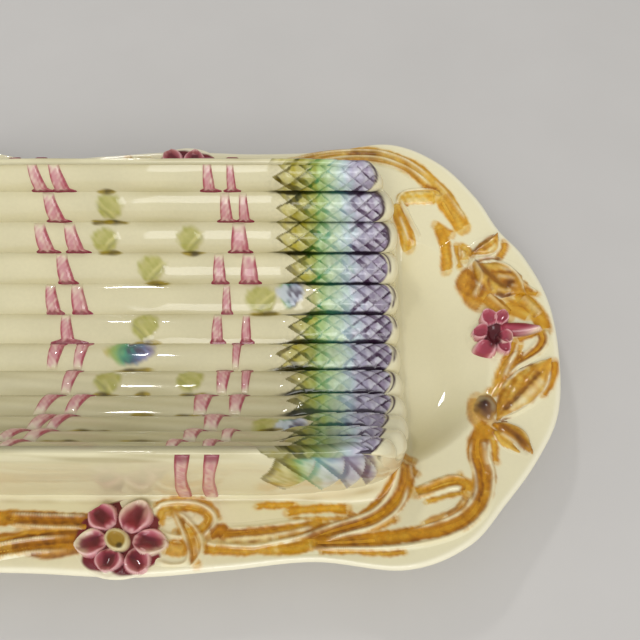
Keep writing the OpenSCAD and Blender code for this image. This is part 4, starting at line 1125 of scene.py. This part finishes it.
sprig("trailing_vine", ["trail_near_right", "trail_far_left"], [
    ([(72, -103), (92, -103), (112, -102.3), (130, -98.6), (143, -93), (151.5, -85), (155, -75), (155, -64),
        (156.5, -52)], [4.2, 4.6, 5, 5.8, 6.2, 6.2, 6.2, 6.2, 6])], [
    ("ridge", [(76, -104), (90, -104.2), (104, -104.3), (116, -103.7), (128, -102), (139, -98.8),
        (148, -93.5), (154, -87), (157.5, -79), (159, -70), (158.2, -61), (160, -53)], 1.05, 1.5, 0.95),
    ("ridge", [(118, -95.8), (130, -93.6), (140, -90), (147, -84.5), (150.5, -78), (150.8, -70), (150, -61),
        (152, -53)], 1, 0.9, 0.6),
    ("ridge", [(157.2, -54), (156.8, -62), (158, -70)], 1.3, 0.9, 0.4),
    ("vein", [(78, -101.8), (92, -101.6), (106, -100.8)], 1.1, 0.12, 0.15),
    ("vein", [(132, -96.8), (142, -93.5), (149, -87.5), (152.5, -80)], 1.1, 0.18, 0.3),
    ("vein", [(155, -74), (154.5, -66), (153.5, -59), (155, -52)], 1.1, 0.18, 0.2),
    ("vein", [(157.5, -72), (157, -66)], 0.8, 0.12, 0.3)])
sprig("forked_vine", ["fork_near_right", "fork_far_left"], [
    ([(122, -79.5), (131, -78), (140, -76), (147, -76.5)], [3.6, 6, 6.6, 4.4]),
    ([(125, -94), (134, -90.5), (141, -86.8), (145.5, -82)], [1.8, 3, 3.2, 2.8])], [
    ("ridge", [(124, -80.8), (131, -79.3), (138, -77.2), (144, -76.6)], 1, 1, 0.5),
    ("ridge", [(125, -76.5), (133, -73.5), (141, -70.8), (147, -72)], 1, 0.9, 0.45),
    ("ridge", [(144.5, -83), (141, -87.4), (134, -91.3)], 0.9, 0.9, 0.5),
    ("vein", [(143, -79.3), (146.5, -79.6)], 1.3, 0.18, 0.13),
    ("vein", [(130, -77.5), (137, -75), (143, -74)], 0.8, 0.12, 0.35),
    ("vein", [(144, -86), (136, -90)], 0.7, 0.12, 0.35)])
sprig("far_vine", ["vine_far_right", "vine_near_left"], [
    ([(28, 101.5), (46, 102.8), (64, 106.3), (84, 109.3), (100, 109.6), (114, 107.8), (127, 102.8),
        (137, 95.2), (146, 85.5), (152, 76), (157.5, 65)], [5.4, 5.4, 5, 4.6, 4.8, 5.6, 6, 6, 6, 6, 4.4])], [
    ("ridge", [(30, 104.5), (46, 105.5), (64, 109), (84, 112.3), (100, 112.8), (114, 111.3), (126, 106.6),
        (134, 101.2), (141, 95)], 1, 1.3, 0.75),
    ("ridge", [(30, 98), (46, 99.5), (64, 103), (84, 108), (100, 109.2), (114, 107.5), (126, 102.5),
        (134, 97), (141, 90.5)], 1, 1.4, 0.8),
    ("ridge", [(90, 105.8), (104, 106), (116, 103.8), (126, 99.5), (132, 94.5)], 0.9, 1, 0.6),
    ("ridge", [(143, 93), (149, 86), (154, 78), (159, 70)], 1, 1, 0.5),
    ("ridge", [(154, 62.5), (157.5, 62), (160, 66)], 0.9, 0.9, 0.6),
    ("vein", [(96, 111), (105, 110.8), (113, 109.8)], 0.9, 0.12, 0.13),
    ("vein", [(137, 90), (141, 88), (146, 85.2)], 1, 0.18, 0.1),
    ("vein", [(147, 81), (150.5, 74), (153, 69)], 1, 0.12, 0.35),
    ("vein", [(40, 102.5), (60, 106), (80, 110)], 0.8, 0.12, 0.25)])
sprig("far_branch", ["branch_far_right", "branch_near_left"], [
    ([(22, 91.3), (40, 91.2), (58, 90.5), (75, 92)], [4.6, 4.8, 4.4, 3])], [
    ("ridge", [(24, 94.2), (40, 94), (56, 93)], 1, 1.2, 0.7),
    ("ridge", [(24, 88.5), (40, 88.3), (58, 87.8)], 1, 1.1, 0.6),
    ("vein", [(22, 91), (40, 90.5), (60, 90)], 0.9, 0.12, 0.2)])
sprig("hooked_vine", ["hook_far_right", "hook_near_left"], [
    ([(143.5, 84), (135, 84.5), (127, 83.5), (124.5, 78), (126, 71), (129, 63), (130.5, 57)],
        [5.4, 5.8, 6, 5.6, 5.8, 6.4, 5.4])], [
    ("leaf", [(126, 84), (134, 84.3), (143, 83.5)], [3.6, 4, 3.6], 1.1, 0.75),
    ("leaf", [(122.5, 79), (125, 71), (127.5, 64), (129, 58.5)], [2.6, 3.4, 3.8, 3.6], 1, 0.61),
    ("ridge", [(143, 87.6), (134, 88.7), (127.5, 88), (124, 85), (122.5, 81)], 0.7, 0.9, 0.8),
    ("ridge", [(124.5, 83), (127.5, 77.5), (130.5, 71.5), (133.5, 65.5), (135.8, 61.5)], 0.9, 1.3, 1),
    ("ridge", [(124, 74), (126.5, 67), (128.5, 60.5)], 0.9, 0.5, 0.6),
    ("vein", [(126.5, 75), (129.2, 68), (131, 59.5)], 0.8, 0.12, 0.45),
    ("vein", [(121, 75), (124, 66), (126, 59)], 0.7, 0.12, 0.5)])


# Bow: a ribbon loop and its tails in low relief beside the flower, cream on its ridges and golden in
# its hollows, with bare cream glaze showing through the loop.
sprig("bow_form", ["bow_near", "bow_far"], [
    ([(20.5, -79.5), (20.5, -88), (20.5, -96), (20.5, -104), (20.5, -112.3)], [14, 17, 17.5, 15, 11])], [
    ("vein", [(10.5, -93.5), (11, -88.5), (14, -88)], 0.9, 0.12, 0.65),
    ("ridge", [(6, -85), (10, -82.9), (17, -82.2), (24, -82.7), (29.5, -84.9), (33.2, -88.2), (34, -92),
        (32, -95.5), (29, -98.2)], 1.15, 1.7, 0.95),
    ("ridge", [(14.8, -86.5), (17.5, -91.5), (20.3, -96.5), (22.3, -101.5), (24, -106.5), (22.5, -110.3),
        (17, -111.3), (11.5, -109.5)], 1, 1.6, 0.85),
    ("ridge", [(16, -86.5), (21, -90), (25.6, -94.8), (28.8, -100), (29.3, -105), (27, -110), (25, -112)],
        1, 1.5, 0.75),
    ("ridge", [(10, -96.2), (15, -97.8), (20.5, -98.7)], 1, 1.2, 0.9),
    ("ridge", [(31, -101.3), (36, -102.3), (41, -102.6)], 0.9, 1, 0.8),
    ("ridge", [(13, -90), (13.4, -92)], 2.6, 0.5, 0.95),
    ("ridge", [(24, -88.6), (27.5, -90.8)], 2.2, 0.5, 0.95),
    ("vein", [(20, -92), (24, -97.5), (26.3, -103), (26.5, -107)], 1.3, 0.3, 0.41),
    ("vein", [(18.5, -84.5), (25, -86), (30.5, -89), (30, -93.5)], 0.7, 0.12, 0.5),
    ("vein", [(15.5, -100.5), (21, -101.5), (22.4, -105.5)], 0.9, 0.12, 0.3),
    ("vein", [(32, -96.5), (37, -94.8)], 1.5, 0.12, 0.2)])


# Flower: six petals with rolled rims round an oval seed disc, in higher relief. Rose glaze lies deep
# in the hollow petals and between them, and breaks to pale pink on their rims.
raspberry, deep_rose, mid_rose, petal_rim, petal_cream = map(
    linear, ("#82202b", "#500f18", "#b04a5c", "#e0adae", "#e4d7b6"))
disc_cream, disc_gold, disc_brown = map(linear, ("#ddd0a0", "#a17f2a", "#3a2808"))
# Petals: root and tip in mm, half width, how cream they are, and the side of the cream (-1 to 1)
petals = [((-11, -94), (-23, -83.8), 6.2, 0, 0), ((-4.5, -96.5), (1.5, -80.6), 7.8, 0.75, 0.7),
          ((-1.5, -99.5), (15.6, -102.6), 6.2, 0.7, -0.6), ((-1.5, -104), (7, -115), 5.8, 0.15, 0),
          ((-9.5, -103.5), (-10.5, -115), 6.3, 0.1, 0), ((-12.5, -100.3), (-27, -102.3), 6.5, 0.95, -0.5)]
# Rose glaze that has run between the petals: spots with their radius
rose_pools = [(-12, -88, 11), (-2, -108, 9), (-14, -107, 8), (-6, -99, 12), (-19, -92, 7), (5, -93, 5),
              (7, -108, 5), (-22, -98, 5)]
petal_h, disc_h, disc_turn = 3.0, 3.5, radians(38)


def petal_relief(x, y, height, colour, parts, lift, cupped=1.0):
    """Adds petals: t runs from root to tip, v across by an almond of the half width, and inward is the
    depth from the petal's edge. The rim is a roll at inward 0.26 round a hollow of raspberry glaze, and
    cupped is how hollow the petal is and how much of the glaze it holds."""
    for (x1, y1), (x2, y2), half, creamy, lean in parts:
        size = np.hypot(x2 - x1, y2 - y1)
        ux, uy = (x2 - x1)/size, (y2 - y1)/size
        t = ((x - x1)*ux + (y - y1)*uy)/size
        wide = half*1.08*np.clip(1 - np.abs(2*t - 0.92)**1.9, 0.01, 1)**0.85
        v = ((y - y1)*ux - (x - x1)*uy)/wide
        inward = np.minimum(1 - np.abs(v), np.minimum(2.4*(1 - t), 2.2*t + 0.1)) + 0.04*ripple(x, y, 6)
        uneven = inward + 0.06*ripple(x, y, 3) + 0.04*np.cos(9*v)
        rise = 0.62 + 0.38*hump(inward, 0.26, 0.2) - 0.22*cupped*smooth(0.3, 1, inward)
        rise = rise*lift*smooth(0, 0.16, inward)*smooth(-0.02, 0.25, t)
        tone = blend(mid_rose, petal_rim, hump(uneven, 0.2, 0.16))
        pale = np.clip(creamy*smooth(0.3, 0.8, t + 0.4*lean*v + 0.12*ripple(x, y, 5)), 0, 1)
        tone = blend(tone, petal_cream, pale*smooth(0.9, 0.3, uneven))
        darker = np.clip(0.45 + 0.6*ripple(x, y, 4) + 0.5*smooth(0.5, 0.9, inward), 0, 1)
        hollow = smooth(0.36, 0.72, uneven + 0.1*smooth(0.6, 0.1, t))
        hollow = hollow*(0.92 - 0.3*creamy*smooth(0.4, 0.9, t))*cupped
        tone = blend(tone, blend(raspberry, deep_rose, darker), hollow)
        colour = blend(colour, tone, smooth(0, 0.25, rise - height))
        height = np.maximum(height, rise)
    return height, colour


def round_grid(x0, y0, a, b, rows=70, around=190):
    """Places on an ellipse, from its edge to its middle, and their share of its radius."""
    r, t = np.linspace(1, 0.01, rows)[:, None], np.linspace(0, 2*pi, around, endpoint=False)[None]
    return x0 + a*r*np.cos(t), y0 + b*r*np.sin(t), r + 0*t


def closed_round(x, y, r, height, colour):
    """Closed shell on a round grid: the relief above, its underside skin_t below the dish's face."""
    top = raised(x, y, height + 0.02, smooth(1, 0.94, r))
    floor = np.stack([x, y, ground(x, y) - skin_t], -1)[[-1, 0]]
    colour = with_depth(colour, 0.05)
    return np.concatenate([floor, top]), np.concatenate([colour[[-1, 0]], colour])


rose_glaze = lead_glaze("rose_lead_glaze_on_moulded_flowers", 0.07, 0.28)
x, y, r = round_grid(-5.8, -98.6, 22.6, 18.6)
pooled = np.zeros(x.shape)
for x0, y0, size in rose_pools:
    reach_out = np.hypot(x - x0, (y - y0)*1.15) + 0.8*ripple(x, y, 4)
    pooled = np.maximum(pooled, smooth(size + 1, size - 1, reach_out))
tone = blend(raspberry, deep_rose, np.clip(0.45 + 0.5*ripple(x, y, 9), 0, 1))
colour = blend(dish_paint(x, y)[..., :3], tone, pooled*smooth(0.98, 0.9, r))
height, colour = petal_relief(x, y, 0*x, colour, petals, petal_h)
# Seed disc: an oval button with a dimple, cream at its edge and golden in the dimple
dx, dy = x + 8, y + 100
disc = np.hypot((dx*cos(disc_turn) - dy*sin(disc_turn))/6.6, (dx*sin(disc_turn) + dy*cos(disc_turn))/4.7)
boss = disc_h*np.clip(1 - disc**6, 0, 1)**0.5 - 1.2*smooth(0.8, 0.35, disc)
tone = blend(disc_cream, disc_gold, smooth(0.82, 0.55, disc + 0.1*ripple(x, y, 4)))
tone = blend(tone, disc_brown, smooth(2.2, 0.8, np.hypot(x + 6.2, y + 102.6) + 0.5*ripple(x, y, 3))*0.85)
colour = blend(colour, tone, smooth(1.03, 0.95, disc))
height = np.where(disc < 1, np.maximum(boss, 0.4), height)
both_sides("flower_form", [closed_round(x, y, r, height, colour)], rose_glaze,
           ["flower_near", "flower_far"])


# End sprigs: at each end of the rim, leaves and twigs round a small trumpet bloom and a fruit, in the
# same moulded relief. Leaf ribs are cut in and fill with brown glaze, and the leaf edges stay pale.
sprig("lower_leaves", ["leaves_low_right", "leaves_low_left"], [
    ([(163.5, -43), (170, -35), (178, -28), (186, -21.5), (194, -13.5)], [5, 9.5, 11.5, 10.5, 3.6]),
    ([(161, -45.5), (166, -50), (171.5, -55.5), (177.5, -62.5)], [3.4, 6.4, 7.4, 3])], [
    ("leaf", [(165, -43), (169, -37), (176, -30), (183, -24), (189, -18), (193.3, -13.5)],
        [0.8, 4.6, 8.2, 8, 4.6, 0.3], 2.4, 0.53),
    ("ridge", [(165.5, -43), (172, -41.3), (179, -37.5), (185, -32.7), (189.5, -27), (192, -20)], 0.85, 1.2,
        0.75),
    ("ridge", [(169, -27), (173, -22.5), (178, -18.3), (185, -15.6), (192, -14.2)], 0.9, 0.9, 0.4),
    ("ridge", [(170, -39.3), (177, -34.6), (183, -29.4), (188, -24)], 2.3, 0.6, 0.6),
    ("vein", [(167, -40), (172, -35.4), (178, -29.3), (183, -24.3), (188.7, -19.5)], 0.9, 0.48, 0.07),
    ("vein", [(171, -21.3), (175, -18), (180, -16.2), (185, -15.9)], 0.9, 0.3, 0.09),
    ("vein", [(170, -33), (173, -27), (176, -22)], 0.8, 0.18, 0.4),
    ("vein", [(178, -27), (181, -22), (184, -18)], 0.8, 0.18, 0.35),
    ("vein", [(166, -39), (167, -33), (170, -27)], 1, 0.18, 0.35),
    ("leaf", [(163.5, -46), (168, -48.5), (173, -53.5), (177.8, -62)], [1.4, 4.4, 4.6, 0.4], 2.3, 0.39),
    ("leaf", [(163.5, -50), (167, -55.5), (172, -60.8)], [1.2, 2.6, 0.5], 1.2, 0.58),
    ("ridge", [(166, -44.8), (171, -46.2), (175, -50), (177.6, -55.5)], 0.9, 0.9, 0.6),
    ("ridge", [(165, -50.5), (169.5, -54.5), (174, -59.8)], 1, 0.9, 0.7),
    ("vein", [(164, -47.3), (168, -49), (172, -53.5), (175.3, -60)], 1.5, 0.36, 0.08),
    ("vein", [(163, -45.2), (168, -43.8), (171.5, -43.7)], 0.8, 0.24, 0.11)])
# Fruit: a brown knob with a dark middle, where the lower leaves meet, and a painted highlight along one side
fruit_x, fruit_y, fruit_h = 160.6, -36.3, 3.4
fruit_tan, fruit_brown, fruit_dark, fruit_highlight = map(linear, ("#a37a36", "#6e4a2a", "#3d2420", "#d2c190"))
x, y, r = round_grid(fruit_x, -36.8, 6.6, 8.6, 34, 90)
bud = np.hypot((x - fruit_x)/5.4, (y - fruit_y)/7.2)
rough = 0.5*ripple(x, y, 1.8) + 0.5*ripple(x, y, 5)
tone = blend(fruit_tan, fruit_brown, smooth(1, 0.5, bud + 0.25*rough))
hollow = np.hypot((x - 159.6)*1.4, (y + 35.4)*0.75) + 1.2*rough
tone = blend(tone, fruit_dark, smooth(4, 1, hollow)*0.95)
# Painted highlight: a pale crescent on one side of the knob
highlight_crescent = smooth(2.4, 0, np.abs(np.hypot(x - 158.8, y + 36.2) - 4.4) + 1.2*rough)
tone = blend(tone, fruit_highlight, highlight_crescent*smooth(-3, 3, (x - 160) + (y + 36))*0.35)
colour = blend(dish_paint(x, y)[..., :3], tone, smooth(1.1, 0.85, bud + 0.1*rough))
both_sides("fruit_form", [closed_round(x, y, r, fruit_h*np.clip(1 - bud**2, 0, 1)**0.8, colour)],
           amber_glaze, ["knob_right", "knob_left"])
sprig("upper_leaves", ["leaves_top_right", "leaves_top_left"], [
    ([(157, 38), (165, 36.5), (173, 35), (180, 32), (187, 27), (193, 22.5)], [10, 13.2, 12.5, 11, 5.5, 2]),
    ([(147, 58), (151.5, 51.5), (156, 47)], [5, 6, 6.5]),
    ([(159, 50), (166, 52), (172, 54), (178, 57)], [4.2, 6.8, 7, 4.4])], [
    ("leaf", [(162.5, 43.5), (168, 38), (174, 33.5), (180, 29), (184.8, 24)], [1.6, 7.6, 10, 7.4, 0.8], 2.4,
        0.49),
    ("ridge", [(164, 45), (169, 45.2), (174, 44), (179, 40.5), (182.6, 35.5), (184.6, 29.5), (185, 24.5)],
        1, 1, 0.8),
    ("ridge", [(171, 41), (176, 39.3), (180.5, 36.8)], 1.6, 0.7, 0.3),
    ("ridge", [(172.5, 35), (177, 34), (181.5, 32)], 1.4, 0.6, 0.3),
    ("ridge", [(172, 27.5), (176, 26.5), (179, 26)], 1, 0.6, 0.4),
    ("ridge", [(179, 29), (182.5, 28)], 1.2, 0.5, 0.3),
    ("vein", [(163.5, 43.5), (166.5, 39.5), (170, 35.5), (174, 31), (179, 27.5)], 1.5, 0.54, 0.08),
    ("vein", [(169.5, 38), (174, 37.2), (180.5, 36.2)], 0.8, 0.3, 0.17),
    ("vein", [(173, 32.2), (177, 31.2), (181.5, 30.4)], 0.9, 0.3, 0.13),
    ("vein", [(168.5, 35), (168.2, 31), (169.5, 27)], 0.9, 0.24, 0.17),
    ("vein", [(171, 25.8), (175, 24), (179, 24)], 0.9, 0.24, 0.09),
    ("ridge", [(161.5, 47.5), (163, 42.5), (165, 37.5), (164.3, 33), (162, 29), (161, 25.5)], 1.4, 1.8,
        0.45),
    ("vein", [(160.3, 41), (161.8, 36.5), (161, 32), (159.5, 29)], 1.3, 0.24, 0.19),
    ("vein", [(160, 39.5), (155.5, 38)], 0.8, 0.12, 0.3),
    ("vein", [(159, 34), (154.5, 32)], 0.8, 0.12, 0.33),
    ("vein", [(160, 30), (155.5, 27.5)], 0.8, 0.12, 0.35),
    ("vein", [(164.5, 31), (165, 27.5), (163, 25)], 0.9, 0.18, 0.19),
    ("leaf", [(162, 50), (167, 52), (171.5, 54), (174.8, 59.3)], [1, 4, 4.4, 0.5], 2.3, 0.45),
    ("ridge", [(163.5, 47.3), (169, 47.3), (173.2, 48.3), (175.2, 52), (175.8, 56.5)], 0.9, 1.1, 0.9),
    ("vein", [(161.5, 50.5), (165.5, 53.7), (170, 57), (174, 59.2)], 1.1, 0.24, 0.1),
    ("vein", [(162, 44.8), (166, 45.8), (171, 46.2), (175.5, 45)], 0.8, 0.24, 0.1),
    ("vein", [(166, 50.5), (171, 52.5), (174, 55.5)], 0.7, 0.18, 0.3),
    ("ridge", [(151, 56), (152, 50.5), (153.8, 44.5), (156.5, 41.3)], 1, 1, 0.7),
    ("ridge", [(156, 42), (160, 44), (162.5, 47)], 1.2, 1.3, 0.55),
    ("ridge", [(156, 52.5), (157.3, 49), (157.6, 45.5)], 0.9, 0.7, 0.6),
    ("ridge", [(184, 31.5), (187, 28.5), (191.5, 24.2)], 0.8, 0.9, 0.35),
    ("vein", [(186, 27), (189.5, 25)], 0.6, 0.12, 0.25)])
sprig("upper_twigs", ["stems_top_right", "stems_top_left"], [
    ([(166, 25), (171, 19.5), (176, 13)], [3.4, 5, 4]),
    ([(182, 21.5), (186, 16), (190, 10)], [6.4, 6, 5])], [
    ("ridge", [(164, 30), (168.5, 24.8), (172.5, 19.5), (176, 14.8), (178.5, 11)], 1.9, 1.8, 0.35),
    ("ridge", [(184, 23.5), (187.3, 18), (190.8, 12), (192.3, 6)], 1.8, 1.5, 0.25),
    ("vein", [(171, 24.5), (175, 19.5), (179, 14.5), (181, 11)], 0.9, 0.18, 0.3),
    ("vein", [(165, 26), (169, 21), (173, 15.5)], 0.8, 0.12, 0.45),
    ("vein", [(175, 11.3), (180, 9.7), (186, 10.3), (190, 8)], 0.8, 0.12, 0.11)])
sprig("bloom_twigs", ["bloom_stem_right", "bloom_stem_left"], [
    ([(191.5, 3.5), (190.5, -4), (184, -10), (176.5, -15), (169, -24)], [4, 5, 5.6, 6.2, 4.2])], [
    ("ridge", [(192.8, 3), (193.2, -3), (190, -8.7), (184, -12.6), (178, -15.8), (173, -20)], 1, 1.4, 0.9),
    ("ridge", [(188.5, 0.5), (188, -3.5), (184, -7.5), (180, -10.5)], 1, 0.7, 0.6),
    ("ridge", [(179, -3), (176.3, -9), (173.5, -15), (170, -22)], 1.3, 1.4, 0.6),
    ("vein", [(191, 1), (190.5, -4), (186.5, -8.5), (180.5, -12)], 1, 0.18, 0.21),
    ("vein", [(181, -8), (178.5, -13)], 0.8, 0.12, 0.25),
    ("vein", [(172, -20.5), (169, -25)], 1, 0.12, 0.35)])


# Bloom: six lobes round a dark mouth, and a rose tube with raspberry streaks that runs outwards and
# breaks to cream. Lobes are given as the flower's petals are.
lobes = [((168, 7), (164.5, 17), 4.2, 0, 0), ((170.5, 7.5), (174.5, 15), 3.8, 0.1, 0),
         ((166, 4), (157.5, 5.5), 4.3, 0, 0), ((166.5, 0), (159, -11), 5.4, 0, 0),
         ((170.5, 4), (175.5, -4.5), 4, 0.35, 0), ((170, -1), (173.8, -9.8), 3.4, 0, 0)]
lobe_h, tube_h, mouth_h, mouth_x, mouth_y = 4.4, 3.8, 1.4, 168.8, 3
x, y, r = round_grid(175, 3.5, 20.5, 15.5)
mouth = np.hypot(x - mouth_x, (y - mouth_y)*0.8)
colour = blend(dish_paint(x, y)[..., :3], deep_rose, smooth(7.4, 6.4, mouth))
tube_half = (4.1 - 0.8*smooth(178, 188, x))*smooth(193.8, 183, x)**0.7
tube_t, tube_v = (x - 172)/20, (y - 4.8 + 0.1*(x - 172))/np.maximum(tube_half, 0.3)
tube = np.clip(1 - tube_v**2, 0, 1)**0.6*smooth(-0.05, 0.1, tube_t)*smooth(1.0, 0.86, tube_t)
pale = tube_t*0.7 + 0.45*ripple(0.4*x, 1.6*y, 5) + 0.2
tone = blend(mid_rose, petal_rim, smooth(0.3, 0.85, pale))
tone = blend(tone, petal_cream, smooth(0.65, 1.05, tube_t - 0.3*tube_v)*0.7)
streak = np.clip(0.4 + 1.1*ripple(0.35*x, 2.4*y, 5), 0, 1)
tone = blend(tone, raspberry, streak*smooth(1.15, 0.45, tube_t)*0.85)
tone = blend(tone, deep_rose, smooth(0.75, 1, np.abs(tube_v))*0.6)
colour = blend(colour, tone, smooth(0, 0.3, tube))
height = np.maximum(mouth_h*smooth(7.4, 5, mouth), tube_h*tube)
height, colour = petal_relief(x, y, height, colour, lobes, lobe_h, 0.4)
throat = np.hypot((x - 168)/3.9, (y - 1)/7) + 0.16*ripple(x, y, 3)
colour = blend(colour, deep_rose, smooth(1.2, 0.55, throat)*0.95)
height = height - mouth_h*smooth(4, 1.5, np.hypot(x - 168.6, (y - 2.6)*0.7))
both_sides("bloom_form", [closed_round(x, y, r, np.maximum(height, 0), colour)], rose_glaze,
           ["bloom_right", "bloom_left"])
